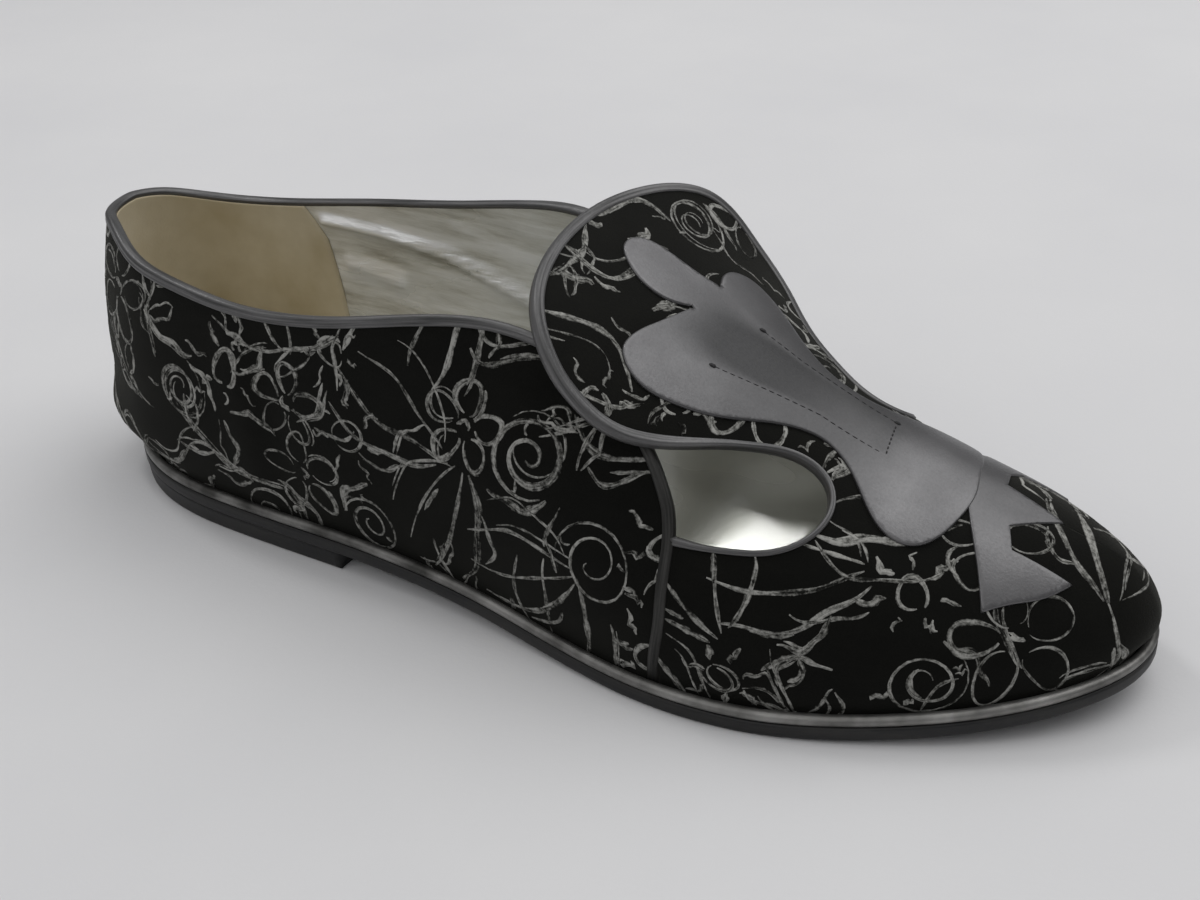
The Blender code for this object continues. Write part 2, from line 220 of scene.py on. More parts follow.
# Creases and folds fade out towards the middle of the shoe
SIDE_FADE = (4.0, 12.0)

# Creases of the suede, straight lines seen from the side: depth inwards, width of the soft trough
CREASES = np.array([
    # side, x, height, end x, end height, depth, width
    (LATERAL, 62.0, 14.0, 58.0, 50.0, -0.35, 5.0),
    (LATERAL, 70.0, 16.0, 68.0, 46.0, 0.40, 5.0),
    (LATERAL, 122.0, 50.0, 98.0, 24.0, 0.55, 7.0),
    (LATERAL, 134.0, 34.0, 116.0, 14.0, 0.35, 5.0),
    (LATERAL, 168.0, 30.0, 175.0, 9.0, 0.35, 5.0),
    (LATERAL, 181.0, 30.0, 187.0, 9.0, 0.30, 5.0),
    (MEDIAL, 60.0, 14.0, 57.0, 48.0, -0.35, 5.0),
    (MEDIAL, 106.0, 60.0, 84.0, 28.0, 0.60, 8.0),
    (MEDIAL, 128.0, 46.0, 112.0, 16.0, 0.40, 6.0),
    (MEDIAL, 170.0, 29.0, 177.0, 9.0, 0.40, 5.0),
])

# Soft folds of the lining, seen from the side; a positive height stands towards the foot
LINING_FOLDS = np.array([
    # side, x, height, end x, end height, fold, width
    (MEDIAL, 44.5, 56.2, 62.0, 55.8, 1.70, 1.5),
    (MEDIAL, 62.0, 55.8, 80.0, 53.8, 1.75, 1.6),
    (MEDIAL, 80.0, 53.8, 98.0, 48.4, 1.70, 1.6),
    (MEDIAL, 98.0, 48.4, 118.0, 40.0, 1.50, 1.7),
    (MEDIAL, 49.5, 45.0, 64.0, 42.8, 1.10, 2.0),
    (MEDIAL, 48.0, 32.0, 88.0, 34.0, 0.30, 2.6),
    (MEDIAL, 88.0, 66.0, 116.0, 56.0, -0.35, 3.0),
    (LATERAL, 46.0, 50.0, 98.0, 42.0, 0.45, 3.0),
    (LATERAL, 60.0, 34.0, 112.0, 30.0, -0.35, 3.5),
])

# Painted highlights along the lining's folds
LINING_PAINTED_HIGHLIGHT = np.array([
    # side, x, height, end x, end height, strength, width
    (MEDIAL, 43.0, 57.0, 62.0, 56.6, 0.8, 1.2),
    (MEDIAL, 62.0, 56.6, 80.0, 54.6, 1.0, 1.2),
    (MEDIAL, 80.0, 54.6, 98.0, 49.2, 1.3, 1.4),
    (MEDIAL, 98.0, 49.2, 118.0, 40.8, 1.2, 1.6),
    (MEDIAL, 49.5, 46.0, 64.0, 43.8, 0.9, 1.8),
    (MEDIAL, 84.0, 62.0, 104.0, 57.0, 0.35, 2.0),
    (LATERAL, 48.0, 50.0, 96.0, 42.0, 0.7, 1.3),
])

# Strap appliqué in plan: trident on the hood, waist on the neck, round end on the vamp
STRAP = np.array([
    # x, y, corner
    (153.8, 0.7, 1), (149.8, -2.9, 0), (146.0, -3.8, 0), (141.0, -2.0, 0),
    (138.0, 2.2, 0), (139.4, 7.4, 0), (144.5, 9.8, 0), (150.0, 11.0, 0),
    (153.9, 12.6, 1), (152.4, 17.0, 0), (152.8, 21.2, 0), (155.6, 24.2, 0),
    (160.0, 24.0, 0), (169.8, 17.2, 0), (179.2, 12.0, 0), (187.0, 12.6, 0),
    (193.4, 16.2, 0), (199.0, 20.2, 0), (204.0, 21.6, 0), (208.2, 19.4, 0),
    (210.6, 14.6, 0), (212.4, 7.2, 0), (213.8, 0.0, 0), (213.0, -7.4, 0),
    (210.8, -13.0, 0), (206.8, -16.5, 0), (202.0, -16.8, 0), (196.4, -13.4, 0),
    (191.0, -8.8, 0), (186.0, -7.2, 0), (180.4, -9.1, 0), (170.9, -16.1, 0),
    (160.0, -22.3, 0), (154.3, -23.8, 0), (150.6, -21.8, 0), (149.8, -16.6, 0),
    (151.4, -9.6, 0),
])

# Toe band appliqué in plan: a strip over the toe with three points to the front
BAND = np.array([
    # x, y, corner
    (208.6, 17.4, 0), (210.0, 22.6, 0), (213.0, 26.8, 1), (218.2, 25.4, 0),
    (227.0, 19.6, 1), (217.8, 17.2, 1), (216.5, 13.6, 1), (217.5, 8.4, 1),
    (229.8, 4.8, 1), (221.7, -2.9, 1), (223.7, -7.4, 1), (235.2, -6.4, 1),
    (231.5, -11.2, 0), (226.4, -15.4, 0), (222.2, -19.0, 1), (219.9, -14.8, 0),
    (216.5, -9.0, 0), (212.9, -1.8, 0), (209.8, 8.0, 0),
])

# Stitched lines on the strap, in plan; the leather between them lies a little lower, with painted shade on
# it
STITCH_NEAR = np.array([(163.1, -9.2), (171.7, -6.2), (182.6, -2.4), (196.0, -1.4)])
STITCH_FAR = np.array([(165.1, 9.0), (174.1, 8.4), (184.0, 9.4), (193.8, 10.2)])
PANEL_DEPTH = 0.15
PANEL_STARTS = (146.0, 162.0)
PANEL_ENDS = (194.5, 199.0)
PANEL_FADE = 0.45
PANEL_FADES = (172.0, 192.0)
PANEL_SOFT = 1.6
PANEL_SOFTER = 5.0
PANEL_FIRM = (156.0, 172.0)

# Share of painted shade on the strap's neck and on the far part of the toe band
NECK_SHADE = 0.62
NECK_STARTS = (148.0, 178.0)
NECK_ENDS = (188.0, 203.0)
BAND_SHADE = 0.30
BAND_SHADE_FROM = (-12.0, 2.0)

# Strap and toe band: thickness, width of the rounded edge, and the steps of their meshes
STRAP_THICK = 0.65
STRAP_ROUND = 0.30
BAND_THICK = 0.45
BAND_ROUND = 0.25
APPLIQUE_STEP = 0.7
APPLIQUE_SUNK = 0.12
EDGE_SHARES = (0.15, 0.45, 1.0)
EDGE_KEPT = 0.9
GRID_CLEAR = 0.35
PROBE = 0.05
ON_EDGE = 1e-3
MERGE = 1e-5
OVERHEAD = 120.0

# Thread of the stitches and knots on the strap
STITCH_PITCH = 1.5
STITCH_LENGTH = 1.1
STITCH_START = 0.3
FINE_THREAD = 0.12
STOUT_THREAD = 0.19
KNOT_THREAD = 0.50
KNOT_HALF = np.array([0.7, 0.2])
THREAD_FLAT = 0.7
THREAD_TIP = 0.02

# Rolled binding: outer half of its section, from the skirt over a groove to the top of the roll
BINDING = np.array([
    # out, over the edge
    (0.02, -1.75),
    (0.28, -1.64),
    (0.40, -1.25),
    (0.34, -0.92),
    (0.47, -0.62),
    (0.56, -0.15),
    (0.40, 0.32),
    (0.00, 0.60),
    (-WALL / 2.0, 0.70),
])
INNER_SKIRT = 0.22
INNER_BULGE = 0.35
CHART_AROUND = 8.0

# Under the cut-outs the binding is narrower, until it runs up onto the hood
NARROW_BINDING = 0.50
NARROW_UNTIL = (-176.0, -160.0)

# Bead between upper and outsole
RAND = np.array([
    # inset, height over the outsole
    (0.75, 0.0),
    (0.28, 0.25),
    (0.02, 0.75),
    (0.00, 1.25),
    (0.22, 1.75),
    (0.66, 2.10),
    (1.20, 2.22),
    (1.90, 2.00),
    (2.40, 0.0),
])

# Edges of the sheets under the foot
OUTSOLE_EDGE = np.array([
    # inset, height
    (0.70, 0.0),
    (0.22, 0.14),
    (0.02, 0.55),
    (0.00, 1.20),
    (0.00, 2.20),
    (0.06, 2.80),
    (0.50, SOLE_THICK),
])
HEEL_EDGE = np.array([
    # inset, height
    (1.00, 0.0),
    (0.62, 0.12),
    (0.50, 0.45),
    (0.42, 1.30),
    (0.42, 3.30),
    (0.42, HEEL_LIFT - 0.05),
])

# Insole: a shallow bowl whose rim runs a little up the lining
BOWL = np.array([
    # along, rise of the rim, roundness
    (0.00, 4.0, 5.0),
    (0.30, 5.0, 5.0),
    (0.40, 10.0, 3.0),
    (0.50, 17.0, 1.1),
    (0.66, 19.0, 1.1),
    (0.74, 18.0, 1.1),
    (1.00, 4.0, 2.4),
])
BOWL_LIP = 0.7
BOWL_FRONT = (150.0, 200.0)
BOWL_FRONT_RISE = 8.5
BOWL_FRONT_FADE = 6
BOWL_GAP = 0.25
BOWL_ROUND = 0.3
INSOLE_ENDS = (0.02, 0.985)

# Heel grip inside the heel: its front edge leans forward towards the sole
GRIP_TOP_X = 39.5
GRIP_LOW_X = 48.8
GRIP_THICK = 0.35
GRIP_COLUMNS = 50

# Mesh density
ROWS_LOW = 26
LOW_CROWDING = 1.6
ROWS_HIGH = 26
ROWS_NECK = 24
QUARTER_COLUMNS = 150
LINING_ROWS_LOW = 26
LINING_ROWS_HIGH = 64
LINING_COLUMNS = 210
CUTOUT_COLUMNS = 32
VAMP_COLUMNS = 64
HOOD_COLUMNS = 16
CAP_COLUMNS = 20
STATIONS = 180
ACROSS = 24
EDGE_STEP = 1.0
FINE_STEPS = 2000

SWELL_PEAK = 4.0 / 27.0
SMALL = 1e-4
TINY = 1e-9
WELD = 0.02


def ease(share):
    """Smooth step from 0 to 1."""
    share = np.clip(share, 0.0, 1.0)
    return share * share * (3.0 - 2.0 * share)


def ramp(value, low, high):
    """Smooth step between two values."""
    return ease((value - low) / (high - low))


def own_column(side):
    """Column of a table that belongs to a side: lateral, then medial."""
    return 1 if side == LATERAL else 2


def flowing(table, column, at):
    """Natural cubic through a column of a table, whose first column holds the stations."""
    stations, values = table[:, 0], table[:, column]
    count = len(stations)
    step = np.diff(stations)
    system = np.eye(count)
    bend = np.zeros(count)
    for i in range(1, count - 1):
        system[i, i - 1:i + 2] = step[i - 1], 2.0 * (step[i - 1] + step[i]), step[i]
        bend[i] = 6.0 * ((values[i + 1] - values[i]) / step[i] - (values[i] - values[i - 1]) / step[i - 1])
    moment = np.linalg.solve(system, bend)
    i = np.clip(np.searchsorted(stations, at) - 1, 0, count - 2)
    before = at - stations[i]
    after = stations[i + 1] - at
    span = step[i]
    curve = (moment[i] * after ** 3 + moment[i + 1] * before ** 3) / (6.0 * span)
    low = (values[i] / span - moment[i] * span / 6.0) * after
    high = (values[i + 1] / span - moment[i + 1] * span / 6.0) * before
    return curve + low + high


def steady(table, column, at):
    """Cubic through a column of a table that never overshoots, so flat runs stay flat."""
    stations, values = table[:, 0], table[:, column]
    step = np.diff(stations)
    rise = np.diff(values) / step
    slope = np.zeros(len(stations))
    slope[0] = rise[0]
    slope[-1] = rise[-1]
    for i in range(1, len(rise)):
        if rise[i - 1] * rise[i] > 0.0:
            weight_a = 2.0 * step[i] + step[i - 1]
            weight_b = step[i] + 2.0 * step[i - 1]
            slope[i] = (weight_a + weight_b) / (weight_a / rise[i - 1] + weight_b / rise[i])
    at = np.clip(at, stations[0], stations[-1])
    i = np.clip(np.searchsorted(stations, at) - 1, 0, len(step) - 1)
    t = (at - stations[i]) / step[i]
    start = (2.0 * t ** 3 - 3.0 * t ** 2 + 1.0) * values[i]
    start = start + (t ** 3 - 2.0 * t ** 2 + t) * step[i] * slope[i]
    end = (3.0 * t ** 2 - 2.0 * t ** 3) * values[i + 1] + (t ** 3 - t ** 2) * step[i] * slope[i + 1]
    return start + end


def station_x(along):
    """Length from the back of the outline at a station, 0 at the heel and 1 at the toe."""
    return SOLE_LENGTH * (1.0 - np.cos(np.pi * along)) / 2.0


def station_at(x):
    """Station at a length from the back of the outline."""
    return np.arccos(1.0 - 2.0 * x / SOLE_LENGTH) / np.pi


def axis_y(along):
    """Middle of the sole, which swings inwards at the toe."""
    return TOE_SWING * ramp(along, *SWING_ALONG)


def sole_edge(along, side):
    """Outline in plan."""
    width = flowing(OUTLINE, own_column(side), along)
    return np.stack([station_x(along), axis_y(along) + side * width], axis=-1)


def edge_normal(along, side):
    """Outward direction of the outline in plan."""
    ahead = sole_edge(np.minimum(along + SMALL, 1.0), side)
    behind = sole_edge(np.maximum(along - SMALL, 0.0), side)
    run = ahead - behind
    out = np.stack([-run[..., 1] * side, run[..., 0] * side], axis=-1)
    out /= np.linalg.norm(out, axis=-1, keepdims=True)
    out = np.where((along <= 0.0)[..., None], np.array([-1.0, 0.0]), out)
    return np.where((along >= 1.0)[..., None], np.array([1.0, 0.0]), out)


def underside(x):
    """Height of the outsole's underside."""
    return steady(UNDERSIDE, 1, x)


def drawn_in(along):
    """How far the sole lies inwards of the outline, under heel and toe."""
    return steady(OVERHANG, 1, along)


def inset_edge(along, side, inset):
    """Edge of a piece under the foot, moved inwards from the outline."""
    depth = inset + drawn_in(along)
    return sole_edge(along, side) - depth[..., None] * edge_normal(along, side)


def feather_edge(along, side):
    """Lower edge of the upper's outer face, on the outsole."""
    plan = inset_edge(along, side, FEATHER_INSET)
    height = underside(plan[..., 0]) + SOLE_THICK + FIT
    return np.concatenate([plan, height[..., None]], axis=-1)


def crest_x(along):
    """Length of the ridge at a station."""
    return CREST[0, 0] + (CREST[-1, 0] - CREST[0, 0]) * station_x(along) / SOLE_LENGTH


def crest(along):
    """Ridge of the last."""
    x = crest_x(along)
    across, height = [flowing(CREST, k, x) for k in (1, 2)]
    return np.stack([x, across, height], axis=-1)


def crest_slope(along):
    """Fall of the ridge towards the toe."""
    x = crest_x(along)
    ahead = flowing(CREST, 2, x + SMALL)
    behind = flowing(CREST, 2, x - SMALL)
    return (ahead - behind) / (2.0 * SMALL)


def section_power(along, side):
    """Squareness of the section."""
    return flowing(SECTION, own_column(side), along)


def last_wall(along, side, rise):
    """Outer face of the last: rise 0 at the feather edge, 1 on the ridge."""
    along, rise = np.broadcast_arrays(along, rise)
    foot = feather_edge(along, side)
    reach = crest(along) - foot
    power = section_power(along, side)
    up = np.sin(rise * np.pi / 2.0) ** (2.0 / power)
    inward = 1.0 - np.cos(rise * np.pi / 2.0) ** (2.0 / power)
    swell = flowing(SECTION, 3, along) * up * (1.0 - up) ** 2 / SWELL_PEAK
    over_bead = reach[..., 2] * up
    low_down = np.exp(-((over_bead - BULGE_HEIGHT) / BULGE_WIDTH) ** 2)
    bulge = steady(OVERHANG, 2, along) * low_down
    swell = swell + (drawn_in(along) * (1.0 - up ** BULGE_FADE) + bulge) * ramp(over_bead, *BULGE_FOOT)
    plan = foot[..., :2] + reach[..., :2] * inward[..., None] + edge_normal(along, side) * swell[..., None]
    sag = crest_slope(along) * reach[..., 0] * inward * (1.0 - inward)
    height = foot[..., 2] + reach[..., 2] * up - sag
    return np.concatenate([plan, height[..., None]], axis=-1)


def rise_at_height(along, side, height):
    """Rise of the wall at a height over the floor."""
    foot = feather_edge(along, side)[..., 2]
    up = (height - foot) / (crest(along)[..., 2] - foot)
    return np.arcsin(np.clip(up, 0.0, 1.0) ** (section_power(along, side) / 2.0)) * 2.0 / np.pi


def rise_to_crest(along, side, rise, share):
    """Rise part of the way to the ridge, in even steps seen from above."""
    power = section_power(along, side)
    return np.arccos(np.cos(rise * np.pi / 2.0) * (1.0 - share) ** (power / 2.0)) * 2.0 / np.pi


def cutout_rises(along):
    """Lower and upper edge of the side cut-out at a station."""
    middle = steady(CUTOUT, 1, along)
    half = steady(CUTOUT, 2, along)
    round_share = np.clip((along - CUTOUT_ROUND) / (CUTOUT_END - CUTOUT_ROUND), 0.0, 1.0)
    half = half * np.sqrt(1.0 - round_share ** 2)
    return middle - half, middle + half


def hood_point(x, offset):
    """Outer face of the hood at an offset from its middle line."""
    ridge = flowing(HOOD, 1, x)
    bend = flowing(HOOD, 3, x)
    height = ridge - bend * offset ** 2 / 2.0 + HOOD_LIFT
    return np.stack([x, HOOD_MIDDLE + offset, height], axis=-1)


def low_shares(rows=ROWS_LOW):
    """Rows of the wall below the cut-out, closer together over the feather edge."""
    return np.linspace(0.0, 1.0, rows + 1) ** LOW_CROWDING


def quarter_patch(side, columns=QUARTER_COLUMNS, rows_low=ROWS_LOW, rows_high=ROWS_HIGH):
    """Quarter from the heel to its front edge, feather edge to topline."""
    share = np.linspace(0.0, 1.0, columns + 1)
    cut_low = cutout_rises(CORNER_ALONG)[0]
    front_top = QUARTER_FRONT[-1, 0]
    low = cut_low * low_shares(rows_low)
    high = np.linspace(cut_low, front_top, rows_high + 1)[1:]
    front_rise = np.concatenate([low, high])
    front_along = steady(QUARTER_FRONT, 1, front_rise)
    along = share[:, None] * front_along[None, :]
    top = rise_at_height(along, side, flowing(TOPLINE, own_column(side), along))
    rise = top * (front_rise / front_top)[None, :]
    points = last_wall(along, side, rise)
    tuck = TUCK * ramp(rise, *TUCK_RISE) * ramp(along, *TUCK_ALONG)
    points[..., 1] -= side * tuck
    return points


def strip_patch(side, quarter):
    """Low strip under the cut-out, from the quarter's front edge to the cut-out's round end."""
    share = np.sin(np.linspace(0.0, np.pi / 2.0, CUTOUT_COLUMNS + 1))
    along = CORNER_ALONG + (CUTOUT_END - CORNER_ALONG) * share
    low = cutout_rises(along)[0]
    rise = low[:, None] * low_shares()[None, :]
    points = last_wall(along[:, None], side, rise)
    shift = quarter[-1, :ROWS_LOW + 1] - points[0]
    points += (1.0 - share)[:, None, None] ** 2 * shift[None, :, :]
    return points


def vamp_patch(side):
    """Vamp from the cut-out's round end to the toe, feather edge to ridge."""
    along = np.linspace(CUTOUT_END, 1.0, VAMP_COLUMNS + 1)
    middle = np.full_like(along, CUTOUT_END_RISE)
    low = middle[:, None] * low_shares()[None, :]
    share = np.linspace(0.0, 1.0, ROWS_NECK + 1)[None, 1:]
    high = rise_to_crest(along[:, None], side, middle[:, None], share)
    return last_wall(along[:, None], side, np.concatenate([low, high], axis=1))


def neck_columns():
    """Lengths of the hood's columns on its ridge, from the vamp to the hood's widest place."""
    share = np.sin(np.linspace(0.0, np.pi / 2.0, CUTOUT_COLUMNS + 1))
    neck = crest_x(CORNER_ALONG + (CUTOUT_END - CORNER_ALONG) * share)[::-1]
    hood = np.linspace(neck[-1], HOOD_WIDEST, HOOD_COLUMNS + 1)[1:]
    return np.concatenate([neck, hood])


def hood_patch(side):
    """Half of the hood, from the vamp over the neck to its widest place, edge to ridge."""
    x = neck_columns()
    along = station_at((x - CREST[0, 0]) / (CREST[-1, 0] - CREST[0, 0]) * SOLE_LENGTH)
    share = np.linspace(0.0, 1.0, ROWS_NECK + 1)[None, :]
    edge = cutout_rises(np.maximum(along, CUTOUT[0, 0]))[1]
    on_last = last_wall(along[:, None], side, rise_to_crest(along[:, None], side, edge[:, None], share))
    width = flowing(HOOD, 2, x)
    lengths = np.broadcast_to(x[:, None], on_last.shape[:2])
    free = hood_point(lengths, side * width[:, None] * (1.0 - share))
    blend = ramp(x, NECK_HOOD, x[0])[:, None, None]
    return on_last * blend + free * (1.0 - blend)


def cap_patch():
    """Elliptic end of the hood towards the heel, a square grid pressed into half an ellipse."""
    across = np.linspace(-1.0, 1.0, 2 * ROWS_NECK + 1)[None, :]
    back = np.linspace(0.0, 1.0, CAP_COLUMNS + 1)[:, None]
    offset = HOOD_HALF * across * np.sqrt(1.0 - back ** 2 / 2.0)
    x = HOOD_WIDEST - (HOOD_WIDEST - HOOD_END) * back * np.sqrt(1.0 - across ** 2 / 2.0)
    return hood_point(x, offset)


# The frame's origin is on the floor under the middle of the box
fine = np.linspace(0.0, 1.0, FINE_STEPS + 1)
outer_reach = sole_edge(fine, LATERAL)[:, 1].min()
inner_reach = max(sole_edge(fine, MEDIAL)[:, 1].max(), HOOD_MIDDLE + HOOD_HALF)
back_reach = last_wall(np.zeros_like(fine), LATERAL, fine)[:, 0].min()
front_reach = last_wall(np.ones_like(fine), LATERAL, fine)[:, 0].max()
SHIFT = np.array([-(back_reach + front_reach) / 2.0, -(outer_reach + inner_reach) / 2.0, 0.0])


def place(points):
    """Moves points into the frame, in metres."""
    return (np.asarray(points) + SHIFT) * MM


def unit(vectors):
    """Vectors of length 1."""
    return vectors / np.maximum(np.linalg.norm(vectors, axis=-1, keepdims=True), TINY)


def grid_quads(rows, columns, flip=False):
    """Faces of a grid of points, row after row."""
    index = np.arange(rows * columns).reshape(rows, columns)
    corners = [index[:-1, :-1], index[1:, :-1], index[1:, 1:], index[:-1, 1:]]
    quads = np.stack(corners, axis=-1).reshape(-1, 4)
    return quads[:, ::-1] if flip else quads


def bar_faces(rings, sides):
    """Faces of a closed bar: its rings of corners, then both ends."""
    row, column = np.divmod(grid_quads(rings, sides + 1), sides + 1)
    first = np.arange(sides)
    return list(row * sides + column % sides) + [first, first[::-1] + (rings - 1) * sides]


def joined(bodies):
    """Points and faces of several bodies as one."""
    points, faces = [], []
    base = 0
    for more, loops in bodies:
        points.append(more)
        faces.extend(np.asarray(loop) + base for loop in loops)
        base += len(more)
    return np.concatenate(points), faces


def both_sides(make):
    """Patches of both sides, each with its flip."""
    return [(make(side), side == MEDIAL) for side in SIDES]


def weld(patches):
    """One sheet from several grids of points; each comes with its flip."""
    points = []
    quads = []
    base = 0
    for grid, flip in patches:
        quads.append(grid_quads(grid.shape[0], grid.shape[1], flip) + base)
        points.append(grid.reshape(-1, 3))
        base += len(points[-1])
    points = np.concatenate(points)
    keys = np.round(points / WELD).astype(np.int64)
    _, first, shared = np.unique(keys, axis=0, return_index=True, return_inverse=True)
    return points[first], shared.reshape(-1)[np.concatenate(quads)]


def sheet_normals(points, quads):
    """Smooth normals of a sheet of quads."""
    corner = points[quads]
    flat = np.cross(corner[:, 2] - corner[:, 0], corner[:, 3] - corner[:, 1])
    normals = np.zeros_like(points)
    for k in range(4):
        np.add.at(normals, quads[:, k], flat)
    return unit(normals)


def soft_lines(points, lines):
    """Soft troughs along straight lines seen from the side, positive, and ridges, negative."""
    troughs = np.zeros(len(points))
    ridges = np.zeros(len(points))
    view = points[:, [0, 2]]
    for side, x, height, end_x, end_height, depth, width in lines:
        start = np.array([x, height])
        run = np.array([end_x, end_height]) - start
        share = np.clip((view - start) @ run / (run @ run), 0.0, 1.0)
        away = np.linalg.norm(view - start - share[:, None] * run, axis=1)
        here = ramp(points[:, 1] * side, *SIDE_FADE)
        value = here * depth * np.exp(-(away / width) ** 2)
        troughs = np.maximum(troughs, value)
        ridges = np.minimum(ridges, value)
    return troughs + ridges


def make_panel(patches):
    """A part of the upper's outer face, with what other pieces need to lie on it."""
    points, quads = weld(patches)
    points = points - sheet_normals(points, quads) * soft_lines(points, CREASES)[:, None]
    normals = sheet_normals(points, quads)
    tree = KDTree(len(points))
    for i, point in enumerate(points):
        tree.insert(point, i)
    tree.balance()
    bvh = BVHTree.FromPolygons(points.tolist(), quads.tolist())
    return {"points": points, "quads": quads, "normals": normals, "tree": tree, "bvh": bvh}


def on_panel(panel, path):
    """Points of a panel nearest to a path, with their normals."""
    index = [panel["tree"].find(Vector(point))[1] for point in path]
    return panel["points"][index], panel["normals"][index]


def cast(panel, start, way, reach):
    """Where a ray meets a panel, with the smooth normal there, or None."""
    place_hit, _, face, _ = panel["bvh"].ray_cast(Vector(start), Vector(way), reach)
    if place_hit is None:
        return None
    corners = panel["quads"][face]
    weights = np.array(poly_3d_calc([Vector(p) for p in panel["points"][corners]], place_hit))
    normal = weights @ panel["normals"][corners]
    return np.array(place_hit), normal / np.linalg.norm(normal)


def shell(points, quads, normals, outer, inner):
    """Closed wall between two offsets of an open sheet."""
    count = len(points)
    both = np.concatenate([points + normals * outer, points + normals * inner])
    edges = np.concatenate([quads[:, [k, (k + 1) % 4]] for k in range(4)])
    forward = edges[:, 0] * count + edges[:, 1]
    backward = edges[:, 1] * count + edges[:, 0]
    rim = edges[~np.isin(forward, backward)]
    sides = np.stack([rim[:, 1], rim[:, 0], rim[:, 0] + count, rim[:, 1] + count], axis=-1)
    return both, np.concatenate([quads, quads[:, ::-1] + count, sides])


def add_object(name, data):
    """A new object in the scene."""
    made = bpy.data.objects.new(name, data)
    bpy.context.scene.collection.objects.link(made)
    return made


def add_piece(name, points, faces, slot, material, chart=None):
    """A named piece that rides on the shoe, with an optional chart of its surface for the material."""
    data = bpy.data.meshes.new(name)
    data.from_pydata(place(points).tolist(), [], [list(map(int, face)) for face in faces])
    data.shade_smooth()
    data.materials.append(material)
    if chart is not None:
        layer = data.attributes.new("chart", "FLOAT_VECTOR", "POINT")
        layer.data.foreach_set("vector", np.asarray(chart, dtype=np.float32).ravel())
    piece = add_object(name, data)
    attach(piece, "root")
    return piece


def run_length(path):
    """Length along a path at each of its points."""
    return np.concatenate([[0.0], np.cumsum(np.linalg.norm(np.diff(path, axis=0), axis=1))])


def along_path(at, stations, path):
    """Places on a path at stations along it."""
    return np.stack([np.interp(at, stations, column) for column in path.T], axis=-1)


def even_path(path, step):
    """The path in even steps."""
    length = run_length(path)
    at = np.linspace(0.0, length[-1], max(int(round(length[-1] / step)), 2) + 1)
    return along_path(at, length, path)


def sweep(path, normals, turn, profile, width):
    """Closed bar with a section of (out, over the edge) carried along a path on a surface."""
    run = unit(np.gradient(path, axis=0))
    over = unit(turn * np.cross(normals, run))
    out = unit(np.cross(run, over)) * turn
    across = profile[None, :, 1:] * width[:, None, None]
    loops = path[:, None] + profile[None, :, :1] * out[:, None] + across * over[:, None]
    points = loops.reshape(-1, 3)
    faces = bar_faces(len(path), len(profile))
    if signed_volume(points, np.array(faces[:-2])) < 0.0:
        faces = [face[::-1] for face in faces]
    around = np.linspace(0.0, CHART_AROUND, len(profile))
    chart = np.stack(np.broadcast_arrays(run_length(path)[:, None], around[None, :], 0.0), axis=-1)
    return points, faces, chart.reshape(-1, 3)


def signed_volume(points, quads):
    """Volume inside a set of faces, negative if they point inwards."""
    corner = points[quads] - points.mean(axis=0)
    first = np.einsum("ij,ij->i", corner[:, 0], np.cross(corner[:, 1], corner[:, 2]))
    second = np.einsum("ij,ij->i", corner[:, 0], np.cross(corner[:, 2], corner[:, 3]))
    return (first + second).sum() / 6.0


def outward(points, quads):
    """The faces, turned outwards."""
    return quads[:, ::-1] if signed_volume(points, quads) < 0.0 else quads


def binding_profile():
    """Whole section of the binding, outside then inside, where its skirt is short."""
    inside = BINDING[-2::-1] * np.array([-INNER_BULGE, 1.0])
    inside[:, 1] = np.where(inside[:, 1] < 0.0, inside[:, 1] * INNER_SKIRT, inside[:, 1])
    return np.concatenate([BINDING, inside + np.array([-WALL, 0.0])])


def connect(tree, socket, value):
    """Sets an input, or links it to another node's output."""
    if isinstance(value, bpy.types.NodeSocket):
        tree.links.new(value, socket)
    else:
        socket.default_value = value


def feed(tree, made, **inputs):
    """Sets a node's inputs by name; a value may be another node's output."""
    for key, value in inputs.items():
        connect(tree, made.inputs[key.replace("_", " ")], value)


def node(tree, kind, settings=None, **inputs):
    """A shader node with its settings and inputs."""
    made = tree.nodes.new("ShaderNode" + kind)
    for key, value in (settings or {}).items():
        setattr(made, key, value)
    feed(tree, made, **inputs)
    return made


def reckon(tree, operation, *values):
    """Result of a Math node."""
    made = node(tree, "Math", {"operation": operation})
    for socket, value in zip(made.inputs, values):
        connect(tree, socket, value)
    return made.outputs[0]


def start_material(name, **inputs):
    """A new material with its tree and shader; inputs are constants of the shader."""
    material = bpy.data.materials.new(name)
    material.use_nodes = True
    tree = material.node_tree
    shader = tree.nodes["Principled BSDF"]
    feed(tree, shader, **inputs)
    return material, tree, shader


def noise(tree, vector, scale, detail=3.0, roughness=0.55):
    """Value of a noise texture; its scale may differ along the three axes."""
    if isinstance(scale, tuple):
        vector = node(tree, "Mapping", Vector=vector, Scale=scale).outputs["Vector"]
        scale = 1.0
    made = node(tree, "TexNoise", Vector=vector, Scale=scale, Detail=detail, Roughness=roughness)
    return made.outputs["Fac"]


def spread(tree, value, low, high, start, end):
    """Maps a value between low and high to start and end."""
    limits = {"From_Min": low, "From_Max": high, "To_Min": start, "To_Max": end}
    return node(tree, "MapRange", {"clamp": True}, Value=value, **limits).outputs["Result"]


def tones(tree, value, *stops):
    """Colour ramp through stops of (place, colour)."""
    made = node(tree, "ValToRGB", Fac=value)
    steps = made.color_ramp.elements
    while len(steps) < len(stops):
        steps.new(0.5)
    for step, (at, colour) in zip(steps, stops):
        step.position = at
        step.color = (*colour, 1.0)
    return made.outputs["Color"]


